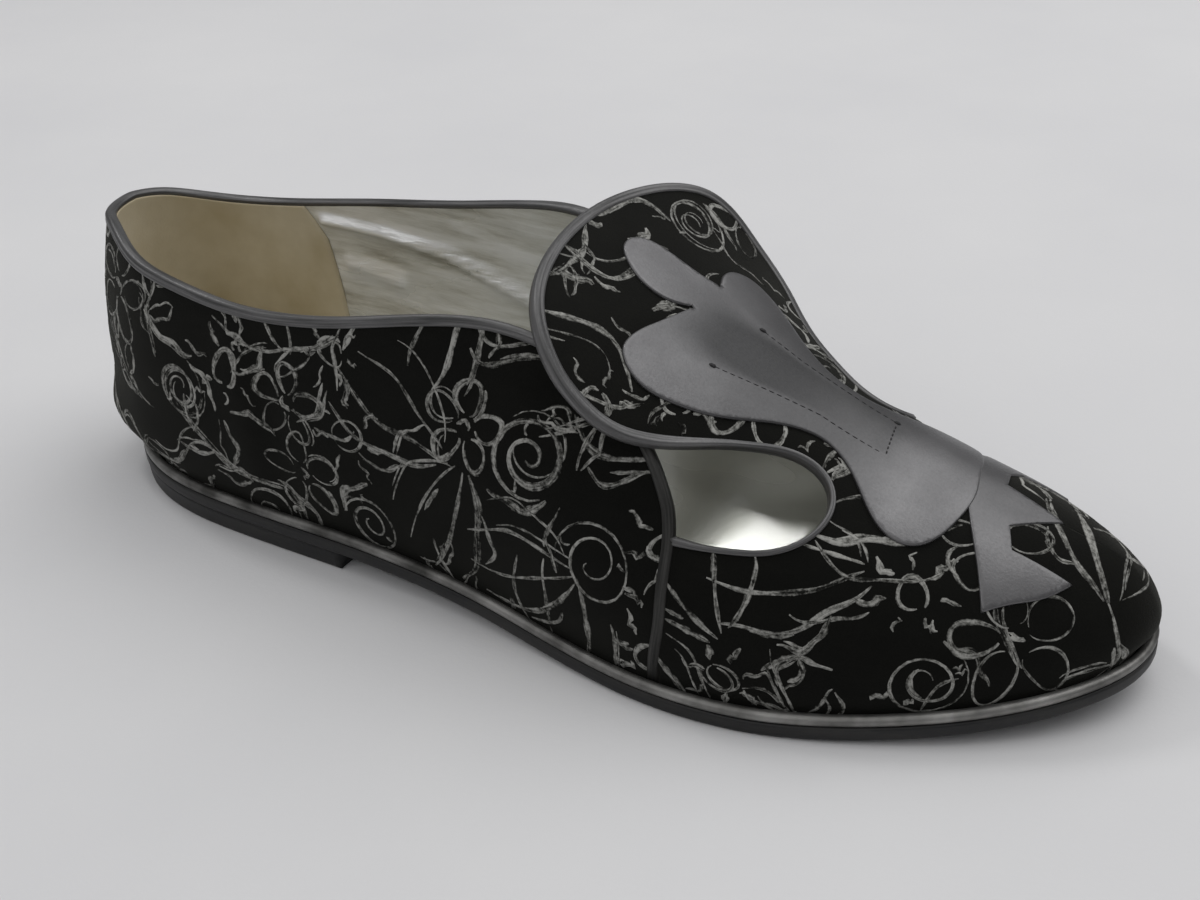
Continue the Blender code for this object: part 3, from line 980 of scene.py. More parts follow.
def dent(tree, height, strength, distance, before=None):
    """Bump from a height, on top of an earlier one."""
    inputs = {"Height": height, "Strength": strength, "Distance": distance}
    if before is not None:
        inputs["Normal"] = before
    return node(tree, "Bump", **inputs).outputs["Normal"]


def own_place(tree):
    """Place on the object, in metres."""
    return node(tree, "TexCoord").outputs["Object"]


def own_chart(tree):
    """Place on the piece's own chart, in millimetres."""
    return node(tree, "Attribute", {"attribute_name": "chart"}).outputs["Vector"]


def third(tree, vector):
    """Third value of a vector."""
    return node(tree, "SeparateXYZ", Vector=vector).outputs["Z"]


# Scale, detail and roughness of the suede's nap, also under the print; strength and depth of its bump
NAP = (2600.0, 4.0, 0.7)
NAP_BUMP = (0.5, 0.0002)


def suede_material():
    """Short black nap, brushed in soft patches."""
    material, tree, shader = start_material(
        "black_suede", Roughness=0.92, Sheen_Weight=0.10, Sheen_Roughness=0.45,
        Sheen_Tint=(0.62, 0.62, 0.55, 1.0), Specular_IOR_Level=0.15)
    at = own_place(tree)
    nap = noise(tree, at, *NAP)
    brushed = noise(tree, at, (55.0, 90.0, 140.0), 4.0)
    mixed = reckon(tree, "MULTIPLY", nap, brushed)
    colour = tones(tree, mixed, (0.10, (0.0012, 0.0013, 0.0008)), (0.45, (0.0050, 0.0050, 0.0038)))
    hairs = dent(tree, nap, *NAP_BUMP)
    feed(tree, shader, Base_Color=colour, Normal=dent(tree, brushed, 0.15, 0.0005, hairs))
    return material


def ink_material():
    """Dry brushed paint: patchy along the stroke, thinner at its edges."""
    material, tree, shader = start_material("silver_print", Roughness=0.88, Specular_IOR_Level=0.2)
    run = own_chart(tree)
    at = own_place(tree)
    streak = noise(tree, run, (0.30, 2.6, 1.0), 4.0, 0.65)
    blot = noise(tree, at, 900.0, 5.0, 0.7)
    load = noise(tree, run, (0.035, 0.1, 0.0), 2.0)
    cover = reckon(tree, "ADD", streak, blot)
    loaded = reckon(tree, "ADD", cover, spread(tree, load, 0.3, 0.7, -0.16, 0.20))
    kept = reckon(tree, "SUBTRACT", loaded, spread(tree, third(tree, run), 0.2, 1.0, 0.0, 0.42))
    colour = tones(
        tree, kept,
        (0.60, (0.004, 0.004, 0.003)),
        (0.72, (0.085, 0.085, 0.077)),
        (1.00, (0.370, 0.368, 0.345)))
    feed(tree, shader, Base_Color=colour, Normal=dent(tree, noise(tree, at, *NAP), *NAP_BUMP))
    return material


def pewter_material(name, bright, dull, rough, painted_shade_tone=None):
    """Satin metallic leather with fine grain; the last argument is the tone of painted shade, reached where
    the chart's third value is 1.
    """
    material, tree, shader = start_material(name, Metallic=0.82)
    at = own_place(tree)
    cloud = noise(tree, at, 85.0, 3.0)
    grain = noise(tree, at, 1900.0, 3.0, 0.6)
    colour = tones(tree, cloud, (0.35, dull), (0.66, bright))
    if painted_shade_tone is not None:
        mixed = node(tree, "Mix", {"data_type": "RGBA"})
        share, first, second = mixed.inputs[0], mixed.inputs[6], mixed.inputs[7]
        connect(tree, share, third(tree, own_chart(tree)))
        connect(tree, first, colour)
        connect(tree, second, (*painted_shade_tone, 1.0))
        colour = mixed.outputs[2]
    roughness = spread(tree, grain, 0.3, 0.7, rough - 0.06, rough + 0.08)
    feed(tree, shader, Base_Color=colour, Roughness=roughness, Normal=dent(tree, grain, 0.22, 0.0002))
    return material


def binding_material(name, dark, light):
    """Smooth rolled leather with long streaks."""
    material, tree, shader = start_material(name, Metallic=0.7)
    streak = noise(tree, own_chart(tree), (0.05, 1.4, 1.0), 3.0)
    grain = noise(tree, own_place(tree), 1600.0, 3.0, 0.6)
    colour = tones(tree, streak, (0.30, dark), (0.66, light))
    roughness = spread(tree, grain, 0.3, 0.7, 0.40, 0.54)
    feed(tree, shader, Base_Color=colour, Roughness=roughness, Normal=dent(tree, grain, 0.25, 0.0002))
    return material


def lining_material():
    """Glossy silver leather, streaked along the foot, with a painted highlight where the chart's third value
    is high.
    """
    material, tree, shader = start_material(
        "silver_lining", Metallic=0.30, Coat_Weight=0.4, Coat_Roughness=0.12)
    chart = own_chart(tree)
    lie = {"Rotation": (0.0, 0.0, 0.22), "Scale": (0.020, 0.16, 0.0)}
    slant = node(tree, "Mapping", Vector=chart, **lie).outputs["Vector"]
    streak = noise(tree, slant, 1.0, 7.0, 0.68)
    wear = noise(tree, own_place(tree), (22.0, 40.0, 55.0), 4.0)
    patchy = spread(tree, noise(tree, slant, 3.0, 4.0), 0.35, 0.65, 0.05, 0.55)
    # Noise streaks plus the painted highlight from the chart
    streaks_and_painted_highlight = reckon(tree, "MULTIPLY_ADD", third(tree, chart), patchy, streak)
    colour = tones(
        tree, streaks_and_painted_highlight,
        (0.33, (0.46, 0.44, 0.37)),
        (0.47, (0.76, 0.755, 0.70)),
        (0.60, (0.93, 0.93, 0.90)),
        (0.85, (1.0, 1.0, 0.99)))
    roughness = spread(tree, wear, 0.3, 0.7, 0.20, 0.40)
    feed(tree, shader, Base_Color=colour, Roughness=roughness, Normal=dent(tree, streaks_and_painted_highlight, 0.45, 0.0012))
    return material


def plain_material(name, tone, stops, bump=None, rough=None, **inputs):
    """Material whose colour and gloss follow one noise, and whose bump has a noise, strength and depth."""
    material, tree, shader = start_material(name, **inputs)
    at = own_place(tree)
    value = noise(tree, at, *tone)
    feed(tree, shader, Base_Color=tones(tree, value, *stops))
    if rough is not None:
        feed(tree, shader, Roughness=spread(tree, value, *rough))
    if bump is not None:
        grain, strength, depth = bump
        feed(tree, shader, Normal=dent(tree, noise(tree, at, *grain), strength, depth))
    return material


SUEDE = suede_material()
INK = ink_material()
# Pewter leather: bright and dull tones, roughness, and the tone of painted shade for the strap and toe band
PEWTER = pewter_material(
    "pewter_leather", (0.174, 0.172, 0.175), (0.138, 0.136, 0.139), 0.38, (0.046, 0.046, 0.047))
RAND_PEWTER = pewter_material("pewter_bead", (0.34, 0.335, 0.322), (0.075, 0.074, 0.069), 0.48)
BINDING_PEWTER = binding_material("pewter_binding", (0.060, 0.060, 0.060), (0.175, 0.173, 0.174))
DARK_PEWTER = binding_material("dark_binding", (0.014, 0.014, 0.013), (0.060, 0.059, 0.056))
SILVER = lining_material()
TAN = plain_material(
    "tan_grip", (45.0, 4.0), [(0.30, (0.520, 0.432, 0.268)), (0.68, (0.705, 0.622, 0.455))],
    bump=((1500.0, 4.0, 0.65), 0.35, 0.0002), Roughness=0.85, Sheen_Weight=0.1, Specular_IOR_Level=0.2)
SOCK = plain_material(
    "pewter_sock", ((25.0, 60.0, 60.0), 1.0), [(0.32, (0.270, 0.275, 0.240)), (0.68, (0.400, 0.405, 0.365))],
    bump=((900.0, 2.0), 0.06, 0.0003), rough=(0.3, 0.7, 0.20, 0.32),
    Metallic=0.40, Coat_Weight=0.8, Coat_Roughness=0.08)
BLACK = plain_material(
    "black_sole", ((35.0, 90.0, 220.0), 5.0, 0.7),
    [(0.42, (0.0075, 0.0075, 0.0080)), (0.74, (0.032, 0.031, 0.029))],
    bump=((700.0, 4.0, 0.6), 0.2, 0.0003), rough=(0.35, 0.7, 0.38, 0.62), Specular_IOR_Level=0.4)
THREAD = plain_material(
    "dark_thread", (2500.0, 2.0), [(0.3, (0.010, 0.010, 0.011)), (0.7, (0.040, 0.039, 0.040))],
    Roughness=0.7, Specular_IOR_Level=0.3)
CLOTH = plain_material(
    "pale_cloth", (7.0, 4.0), [(0.3, (0.700, 0.700, 0.712)), (0.7, (0.745, 0.743, 0.748))],
    bump=((900.0, 2.0), 0.10, 0.0004), Roughness=0.95, Specular_IOR_Level=0.1)

# Panels of the upper
quarter = {side: quarter_patch(side) for side in SIDES}
strip = {side: strip_patch(side, quarter[side]) for side in SIDES}
hood = {side: hood_patch(side) for side in SIDES}
cap = cap_patch()
quarters_panel = make_panel(both_sides(quarter.get))
vamp_panel = make_panel(
    both_sides(strip.get)
    + both_sides(vamp_patch)
    + [(hood[side], side == LATERAL) for side in SIDES]
    + [(cap, True)])


def lining_patch(side):
    """The quarter again, in smaller steps for the lining's folds."""
    return quarter_patch(side, LINING_COLUMNS, LINING_ROWS_LOW, LINING_ROWS_HIGH)


def make_upper():
    """Suede panels outside, silver lining inside."""
    finer = make_panel(both_sides(lining_patch))
    parts = (("quarters", quarters_panel, finer), ("vamp_and_hood", vamp_panel, vamp_panel))
    for name, panel, back in parts:
        body, faces = shell(panel["points"], panel["quads"], panel["normals"], 0.0, -SUEDE_THICK)
        piece = add_piece(name + "_suede", body, faces, "black_suede", SUEDE)
        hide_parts("upper")
        points, quads, normals = back["points"], back["quads"], back["normals"]
        inner = -(WALL + soft_lines(points, LINING_FOLDS))[:, None]
        body, faces = shell(points, quads, normals, -SUEDE_THICK - LINING_GAP, inner)
        # Painted highlight along the lining's folds, carried in the chart's third value
        painted_highlight = soft_lines(points, LINING_PAINTED_HIGHLIGHT)
        chart = np.column_stack([points[:, 0], points[:, 2], painted_highlight])
        add_piece(name + "_lining", body, faces, "silver_lining", SILVER, np.concatenate([chart, chart]))


def grip_half(side):
    """Half of the grip: rows of the quarter, each cut off at the grip's front edge."""
    grid = quarter[side][:, :-1]
    columns = np.arange(len(grid))
    rows = []
    for j, x in enumerate(np.linspace(GRIP_LOW_X, GRIP_TOP_X, grid.shape[1])):
        at = np.linspace(0.0, np.interp(x, grid[:, j, 0], columns), GRIP_COLUMNS)
        rows.append(along_path(at, columns, grid[:, j]))
    return np.stack(rows, axis=1)


def make_grip():
    """Tan grip on the lining, round the inside of the heel."""
    points, quads = weld(both_sides(grip_half))
    normals = sheet_normals(points, quads)
    body, faces = shell(points, quads, normals, -WALL - LINING_GAP, -WALL - GRIP_THICK)
    add_piece("heel_grip", body, faces, "tan_grip", TAN)


def add_binding(name, path, panel, turn, material, width=None):
    """Rolled pewter binding over an edge of a panel; width gives its share along the path."""
    at, normals = on_panel(panel, path)
    share = np.ones(len(at)) if width is None else width
    both = even_path(np.column_stack([at, normals, share]), EDGE_STEP)
    points, faces, chart = sweep(both[:, :3], unit(both[:, 3:6]), turn, binding_profile(), both[:, 6])
    add_piece(name, points, faces, "pewter_leather", material, chart)


def make_bindings():
    """Bindings of the collar, the quarters' front edges, and the hood with both cut-outs."""
    collar = np.concatenate([quarter[LATERAL][::-1, -1], quarter[MEDIAL][1:, -1]])
    add_binding("collar_binding", collar, quarters_panel, -1, BINDING_PEWTER)
    for side, name in ((LATERAL, "lateral"), (MEDIAL, "medial")):
        add_binding("front_binding_" + name, quarter[side][-1, ::-1], quarters_panel, -side, DARK_PEWTER)
    runs = [strip[LATERAL][:, -1], hood[LATERAL][1:, 0], cap[1:, 0], cap[-1, 1:-1], cap[::-1, -1]]
    runs += [hood[MEDIAL][-2::-1, 0], strip[MEDIAL][-2::-1, -1]]
    path = np.concatenate(runs)
    width = NARROW_BINDING + (1.0 - NARROW_BINDING) * ramp(-path[:, 0], *NARROW_UNTIL)
    add_binding("hood_binding", path, vamp_panel, 1, BINDING_PEWTER, width)


def smooth_outline(rows, step):
    """Closed outline through rows of (x, y, corner), smooth between its corners."""
    corners = np.nonzero(rows[:, 2])[0]
    pieces = []
    for first, last in zip(corners, np.append(corners[1:], corners[0] + len(rows))):
        run = rows[np.arange(first, last + 1) % len(rows), :2]
        path = np.column_stack([run_length(run), run])
        at = np.linspace(0.0, path[-1, 0], max(int(path[-1, 0] / step), 2) + 1)[:-1]
        pieces.append(np.stack([flowing(path, k, at) for k in (1, 2)], axis=-1))
    return np.concatenate(pieces)


def outline_distance(points, outline):
    """Distance of plan points to a closed outline, positive inside."""
    following = np.roll(outline, -1, axis=0)
    run = following - outline
    rel = points[:, None] - outline[None]
    share = np.clip((rel * run).sum(-1) / (run * run).sum(-1), 0.0, 1.0)
    away = np.linalg.norm(rel - share[..., None] * run, axis=-1).min(axis=1)
    low = outline[None, :, 1] > points[:, None, 1]
    high = following[None, :, 1] > points[:, None, 1]
    slope = run[:, 0] / np.where(run[:, 1] == 0.0, TINY, run[:, 1])
    left = points[:, None, 0] < outline[None, :, 0] + slope * (points[:, None, 1] - outline[None, :, 1])
    inside = ((low != high) & left).sum(axis=1) % 2 == 1
    return np.where(inside, away, -away)


def inward_normals(outline):
    """Directions in plan from a closed outline to its inside."""
    along = unit(np.roll(outline, -1, axis=0) - np.roll(outline, 1, axis=0))
    inward = np.stack([-along[:, 1], along[:, 0]], axis=-1)
    inside = outline_distance(outline + PROBE * inward, outline).mean() > 0.0
    return inward if inside else -inward


def applique_plan(outline, round_edge):
    """Plan points and faces inside an outline, with extra rows along its rounded edge."""
    low, high = outline.min(axis=0), outline.max(axis=0)
    steps = [np.arange(low[k], high[k], APPLIQUE_STEP) for k in range(2)]
    grid = np.stack(np.meshgrid(*steps), -1).reshape(-1, 2)
    inward = inward_normals(outline)
    flat = [outline]
    for share in EDGE_SHARES:
        ring = outline + inward * round_edge * share
        flat.append(ring[outline_distance(ring, outline) > EDGE_KEPT * round_edge * share])
    flat.append(grid[outline_distance(grid, outline) > round_edge + GRID_CLEAR * APPLIQUE_STEP])
    loop = [(i, (i + 1) % len(outline)) for i in range(len(outline))]
    flat = [Vector(point) for point in np.concatenate(flat)]
    plan, _, faces, _, _, _ = delaunay_2d_cdt(flat, loop, [], 1, MERGE)
    return np.array([tuple(point) for point in plan]), faces


def dropped(plan):
    """Places and normals of the vamp under plan points."""
    hits = [cast(vamp_panel, (x, y, OVERHEAD), (0.0, 0.0, -1.0), OVERHEAD) for x, y in plan]
    return tuple(map(np.array, zip(*hits)))


def add_applique(name, rows, thickness, round_edge, sink_and_painted_shade_of):
    """Flat leather piece on the vamp with a rounded edge, sunk a little into the suede all round."""
    outline = smooth_outline(rows, APPLIQUE_STEP)
    plan, faces = applique_plan(outline, round_edge)
    away = np.maximum(outline_distance(plan, outline), 0.0)
    edge = away < ON_EDGE
    # Share of sinking and of painted shade at each point; the chart passes the painted shade to the material
    sink_and_painted_shade = sink_and_painted_shade_of(plan)
    rounding = np.sqrt(1.0 - (1.0 - np.minimum(away / round_edge, 1.0)) ** 2)
    height = (thickness + APPLIQUE_SUNK) * rounding - APPLIQUE_SUNK - PANEL_DEPTH * sink_and_painted_shade
    height = np.where(edge, -APPLIQUE_SUNK, height)
    base, normals = dropped(plan)
    top = base + normals * height[:, None]
    bottom = base[~edge] - normals[~edge] * APPLIQUE_SUNK
    under = np.arange(len(plan))
    under[~edge] = len(plan) + np.arange((~edge).sum())
    if not facing_up(top, faces):
        faces = [face[::-1] for face in faces]
    both = [tuple(face) for face in faces] + [tuple(under[list(face)][::-1]) for face in faces]
    chart = np.column_stack([plan, sink_and_painted_shade])
    chart = np.concatenate([chart, chart[~edge]])
    add_piece(name, np.concatenate([top, bottom]), both, "pewter_leather", PEWTER, chart)


def facing_up(points, faces):
    """True if the faces of a sheet mostly point up."""
    corner = points[np.array([face[:3] for face in faces])]
    return np.cross(corner[:, 1] - corner[:, 0], corner[:, 2] - corner[:, 0])[:, 2].sum() > 0.0


def strap_sink_and_painted_shade(plan):
    """Share of sinking and of painted shade on the strap at plan points: its lower middle panel and its
    neck.
    """
    x, y = plan[:, 0], plan[:, 1]
    near = np.interp(x, STITCH_NEAR[:, 0], STITCH_NEAR[:, 1])
    far = np.interp(x, STITCH_FAR[:, 0], STITCH_FAR[:, 1])
    soft = PANEL_SOFT + PANEL_SOFTER * (1.0 - ramp(x, *PANEL_FIRM))
    across = ramp(y - near, -soft, soft) * ramp(far - y, -soft, soft)
    fading = (1.0 - PANEL_FADE * ramp(x, *PANEL_FADES)) * (1.0 - ramp(x, *PANEL_ENDS))
    neck = NECK_SHADE * ramp(x, *NECK_STARTS) * (1.0 - ramp(x, *NECK_ENDS))
    return np.maximum(across * ramp(x, *PANEL_STARTS) * fading, neck)


def band_sink_and_painted_shade(plan):
    """Share of painted shade on the toe band at plan points; the same share sinks it a little."""
    return BAND_SHADE * ramp(plan[:, 1], *BAND_SHADE_FROM)


def capsule(start, end, normal, radius, sides=6, rings=5):
    """Short rounded thread between two points."""
    across = np.cross(unit(end - start), normal)
    share = np.linspace(0.0, 1.0, rings)
    thick = radius * np.sqrt(np.clip(1.0 - (2.0 * share - 1.0) ** 4, THREAD_TIP, 1.0))
    turn = np.linspace(0.0, 2.0 * np.pi, sides, endpoint=False)
    ring = np.cos(turn)[:, None] * across + np.sin(turn)[:, None] * normal * THREAD_FLAT
    points = start + share[:, None, None] * (end - start) + thick[:, None, None] * ring[None]
    return points.reshape(-1, 3), bar_faces(rings, sides)


def make_stitches():
    """Dark thread on the strap: two long lines with a knot at the back, and one across their ends."""
    across = np.array([STITCH_NEAR[-1], STITCH_FAR[-1]])
    stitches = []
    for line, radius in ((STITCH_NEAR, FINE_THREAD), (STITCH_FAR, FINE_THREAD), (across, STOUT_THREAD)):
        length = run_length(line)
        for start in np.arange(STITCH_START, length[-1] - STITCH_LENGTH, STITCH_PITCH):
            at = start + np.array([0.0, STITCH_LENGTH])
            stitches.append((along_path(at, length, line), radius))
    for knot in (STITCH_NEAR[0], STITCH_FAR[0], STITCH_FAR[-1]):
        stitches.append((np.stack([knot - KNOT_HALF, knot + KNOT_HALF]), KNOT_THREAD))
    bodies = []
    for plan, radius in stitches:
        at, normals = dropped(plan)
        at = at + normals * (STRAP_THICK - 0.5 * PANEL_DEPTH)
        bodies.append(capsule(at[0], at[1], normals[0], radius))
    add_piece("strap_stitches", *joined(bodies), "pewter_leather", THREAD)


def bow(start, end, bulge, count=24):
    """Curve from start to end that bulges to one side."""
    start, end = np.array(start, float), np.array(end, float)
    share = np.linspace(0.0, 1.0, count)[:, None]
    side = np.array([start[1] - end[1], end[0] - start[0]])
    return start + (end - start) * share + side * bulge * 4.0 * share * (1.0 - share)


def leaf(base, tip, belly):
    """Open outline of a leaf: two bows."""
    base, tip = np.array(base, float), np.array(tip, float)
    return [(bow(base, tip, belly), 1.1), (bow(base, tip + 0.02, -belly * 0.8), 0.8)]


def sprig():
    """Curved stem with leaves on both sides."""
    stem = bow((-0.62, -0.12), (0.58, 0.16), 0.16, 30)
    strokes = [(stem, 1.0)]
    for at, side, reach in ((6, 1, 0.42), (11, -1, 0.46), (17, 1, 0.38), (22, -1, 0.34)):
        foot = stem[at]
        strokes += leaf(foot, foot + np.array([reach * 0.72, side * reach * 0.74]), 0.20 * side)
    return strokes


def curl():
    """Fern curl: a spiral with a long tail and a few side dabs."""
    turn = np.linspace(0.0, 1.0, 44)
    angle = turn * 4.3 * np.pi + 0.4
    reach = 0.06 + 0.30 * turn ** 0.9
    spiral = np.stack([reach * np.cos(angle), reach * np.sin(angle)], axis=-1)
    strokes = [(spiral, 1.0), (bow(spiral[-1], spiral[-1] + np.array([0.42, -0.34]), 0.2), 1.3)]
    for k in (12, 20, 30):
        strokes.append((bow(spiral[k] * 1.2, spiral[k] * 1.75, 0.15, 10), 0.9))
    return strokes


def blossom():
    """Loose flower: five petal loops and a stalk."""
    strokes = []
    share = np.linspace(0.04, 0.96, 26)
    for k in range(5):
        angle = k * 2.0 * np.pi / 5.0 + 0.3
        out = 0.10 + 0.18 * (1.0 - np.cos(2.0 * np.pi * share))
        wide = 0.13 * np.sin(2.0 * np.pi * share)
        petal = np.stack([out * math.cos(angle) - wide * math.sin(angle),
                          out * math.sin(angle) + wide * math.cos(angle)], axis=-1)
        strokes.append((petal, 0.9))
    strokes.append((bow((-0.05, -0.06), (0.05, 0.05), 0.3, 8), 1.5))
    strokes.append((bow((0.02, -0.42), (0.30, -0.86), -0.2), 1.1))
    return strokes


def reeds():
    """Bunch of long blades from one foot."""
    strokes = []
    blades = ((0.52, 0.50, 0.16), (0.66, 0.20, 0.10), (0.62, -0.10, -0.08), (0.40, -0.42, -0.2))
    for k, (x, y, bulge) in enumerate(blades):
        strokes.append((bow((-0.5 + 0.03 * k, -0.06 * k), (x, y), bulge, 30), 1.4 - 0.2 * k))
    strokes.append((bow((-0.30, 0.30), (0.06, 0.58), 0.22), 1.2))
    return strokes


def wave():
    """Long wave with an echo and two dabs."""
    x = np.linspace(-0.62, 0.62, 40)
    first = np.stack([x, 0.17 * np.sin(5.2 * x)], axis=-1)
    echo = np.stack([x[6:-4] * 0.9, 0.17 * np.sin(5.2 * x[6:-4]) - 0.16], axis=-1)
    dabs = [(bow((-0.3, 0.22), (-0.05, 0.42), 0.2, 12), 1.8), (bow((0.2, 0.3), (0.42, 0.22), 0.2, 12), 1.2)]
    return [(first, 1.3), (echo, 0.8)] + dabs


def seed_head():
    """Round seed head: rays round a ring, on a stalk."""
    turn = np.linspace(0.2, 2.0 * np.pi, 30)
    strokes = [(np.stack([0.15 * np.cos(turn), 0.13 * np.sin(turn)], axis=-1), 1.1)]
    for k in range(7):
        angle = k * 2.0 * np.pi / 7.0
        ray = np.array([math.cos(angle), math.sin(angle)])
        strokes.append((bow(ray * 0.2, ray * (0.34 + 0.05 * (k % 3)), 0.12, 9), 1.0))
    strokes.append((bow((0.0, -0.36), (-0.2, -0.95), 0.15), 1.2))
    return strokes


# Print: spacing and size of the motifs, the second drawing of each line and the hand's unsteadiness
MOTIFS = (sprig, reeds, curl, blossom, wave, seed_head)
PRINT_APART = 16.0
PRINT_SIZE = (19.0, 28.0)
SKETCH_SLIP = 0.035
SKETCH_LEAST = 5
SKETCH_WIDTH = 0.8
HAND_WOBBLE = 0.022
HAND_BEAT = (4.0, 13.0)

# Brush strokes: how a line is pressed onto a panel, and the ribbon of paint along it
STROKE_STEP = 0.8
STROKE_WIDTHS = (0.8, 0.95, 1.1, 1.3, 1.7)
STROKE_ABOVE = 5.0
STROKE_REACH = 14.0
STROKE_FACING = 0.25
STROKE_JUMP = 3.0 * STROKE_STEP
STROKE_LEAST = 4
STROKE_LIFT = (0.05, 0.10)
RIBBON_THIN = 0.30
RIBBON_WOBBLE = 0.22
RIBBON_BEAT = (9.0, 22.0)
RIBBON_PHASE = (0.0, 6.0)
CHART_SPAN = 400.0
LEAN = np.array([0.35, 0.20, 0.90])
STROKE_LOOP = np.array([
    # across in shares of the width, height in shares of the lift
    (-0.5, -0.6),
    (-0.3, 1.0),
    (0.3, 1.0),
    (0.5, -0.6),
    (0.0, -1.2),
])


def print_anchors(panel):
    """Points of a panel for the motifs, well apart."""
    chosen = np.empty((0, 3))
    index = []
    for i in random.permutation(len(panel["points"])):
        point = panel["points"][i]
        if np.all(np.linalg.norm(chosen - point, axis=1) > PRINT_APART):
            chosen = np.vstack([chosen, point])
            index.append(i)
    return index


def press_line(panel, anchor, normal, line):
    """A flat line at an anchor pressed onto the panel, cut where it leaves the panel."""
    side = unit(np.cross(LEAN, normal))
    up = np.cross(normal, side)
    runs = [[]]
    for u, v in even_path(line, STROKE_STEP):
        hit = cast(panel, anchor + u * side + v * up + STROKE_ABOVE * normal, -normal, STROKE_REACH)
        if hit is None or hit[1] @ normal < STROKE_FACING:
            runs.append([])
            continue
        if runs[-1] and np.linalg.norm(hit[0] - runs[-1][-1][0]) > STROKE_JUMP:
            runs.append([])
        runs[-1].append(hit)
    return [run for run in runs if len(run) > STROKE_LEAST]


def brush_ribbon(run, width):
    """Thin closed ribbon of paint along a run of places, thickest in its middle."""
    points, normals = map(np.array, zip(*run))
    across = unit(np.cross(normals, unit(np.gradient(points, axis=0))))
    share = np.linspace(0.0, 1.0, len(run))
    beat = share * random.uniform(*RIBBON_BEAT)
    wobble = 1.0 + RIBBON_WOBBLE * np.sin(beat + random.uniform(*RIBBON_PHASE))
    swelling = np.sin(np.pi * share ** 0.8) ** 0.7
    press = width * (RIBBON_THIN + (1.0 - RIBBON_THIN) * swelling) * wobble
    wide = press[:, None, None] * STROKE_LOOP[None, :, :1]
    high = random.uniform(*STROKE_LIFT) * STROKE_LOOP[None, :, 1:]
    loops = points[:, None] + wide * across[:, None] + high * normals[:, None]
    length = random.uniform(0.0, CHART_SPAN) + np.arange(len(run)) * STROKE_STEP
    edge = np.abs(STROKE_LOOP[None, :, 0]) * 2.0
    chart = np.stack(np.broadcast_arrays(length[:, None], wide[..., 0], edge), axis=-1)
    return loops.reshape(-1, 3), bar_faces(len(run), len(STROKE_LOOP)), chart.reshape(-1, 3)


def unsteady(line):
    """A line as a hand draws it, with slow small waves."""
    share = np.linspace(0.0, 1.0, len(line))[:, None]
    beat = random.uniform(*HAND_BEAT, 2)
    return line + HAND_WOBBLE * np.sin(share * beat + random.uniform(0.0, 2.0 * np.pi, 2))


def sketched(strokes):
    """Each stroke drawn a second time, a little beside itself and not to its end."""
    drawn = []
    for line, width in strokes:
        line = unsteady(line)
        drawn.append((line, width))
        first, last = sorted(random.integers(0, len(line) + 1, 2))
        if last - first > SKETCH_LEAST:
            slip = random.normal(0.0, SKETCH_SLIP, (1, 2))
            drawn.append((line[first:last] + slip, width * SKETCH_WIDTH))
    return drawn


def make_print(name, panel):
    """Loose brush-drawn plants over a panel, no two alike in size and turn."""
    bodies, charts = [], []
    for k, i in enumerate(print_anchors(panel)):
        size = random.uniform(*PRINT_SIZE)
        turn = random.uniform(0.0, 2.0 * np.pi)
        spin = np.array([[math.cos(turn), -math.sin(turn)], [math.sin(turn), math.cos(turn)]])
        for line, width in sketched(MOTIFS[k % len(MOTIFS)]()):
            for run in press_line(panel, panel["points"][i], panel["normals"][i], line * size @ spin):
                points, faces, chart = brush_ribbon(run, width * random.choice(STROKE_WIDTHS))
                bodies.append((points, faces))
                charts.append(chart)
    add_piece(name, *joined(bodies), "black_suede", INK, np.concatenate(charts))


def distinct(quads):
    """Faces without repeated corners."""
    loops = [tuple(dict.fromkeys(quad)) for quad in quads.tolist()]
    return [loop for loop in loops if len(loop) > 2]


def slab_half(stations, side, edge, base):
    """Half of a sheet under the foot: along its lower face, round its edge and back on top."""
    def column(inset, share, lift):
        rim = inset_edge(stations, side, inset)
        middle = (rim + inset_edge(stations, -side, inset)) / 2.0
        plan = middle + (rim - middle) * share
        return np.column_stack([plan, base(plan[:, 0]) + lift])
    shares = np.linspace(0.0, 1.0, ACROSS + 1)[:-1]
    columns = [column(edge[0, 0], share, 0.0) for share in shares]
    columns += [column(inset, 1.0, lift) for inset, lift in edge]
    columns += [column(edge[-1, 0], share, edge[-1, 1]) for share in shares[::-1]]
    return np.stack(columns, axis=1)


def add_slab(name, edge, stations, base, slot, material):
    """Sheet under the foot that stands for the frame's node of the same name."""
    halves = both_sides(lambda side: slab_half(stations, side, edge, base))
    points, quads = weld(halves)
    faces = distinct(outward(points, quads))
    if stations[-1] < 1.0:
        (outer, _), (inner, _) = halves
        ring = np.concatenate([outer[-1], inner[-1][::-1]])
        index = [int(np.argmin(np.linalg.norm(points - point, axis=1))) for point in ring]
        faces.append(front_face(points, list(dict.fromkeys(index))))
    piece = add_piece(name + "_shown", points, faces, slot, material)
    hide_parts(name)


def front_face(points, loop):
    """A loop of corners turned to face the toe."""
    corner = points[loop]
    normal = np.cross(corner, np.roll(corner, -1, axis=0)).sum(axis=0)
    return loop if normal[0] > 0.0 else loop[::-1]


def on_outsole(x):
    """Height of the insole's seat."""
    return underside(x) + SOLE_THICK + FIT


def make_soles():
    """Outsole and heel lift."""
    whole = np.linspace(0.0, 1.0, STATIONS + 1)
    back = np.linspace(0.0, station_at(HEEL_BREAST), STATIONS // 2)
    add_slab("outsole", OUTSOLE_EDGE, whole, underside, "black_sole", BLACK)
    add_slab("heel", HEEL_EDGE, back, np.zeros_like, "black_sole", BLACK)


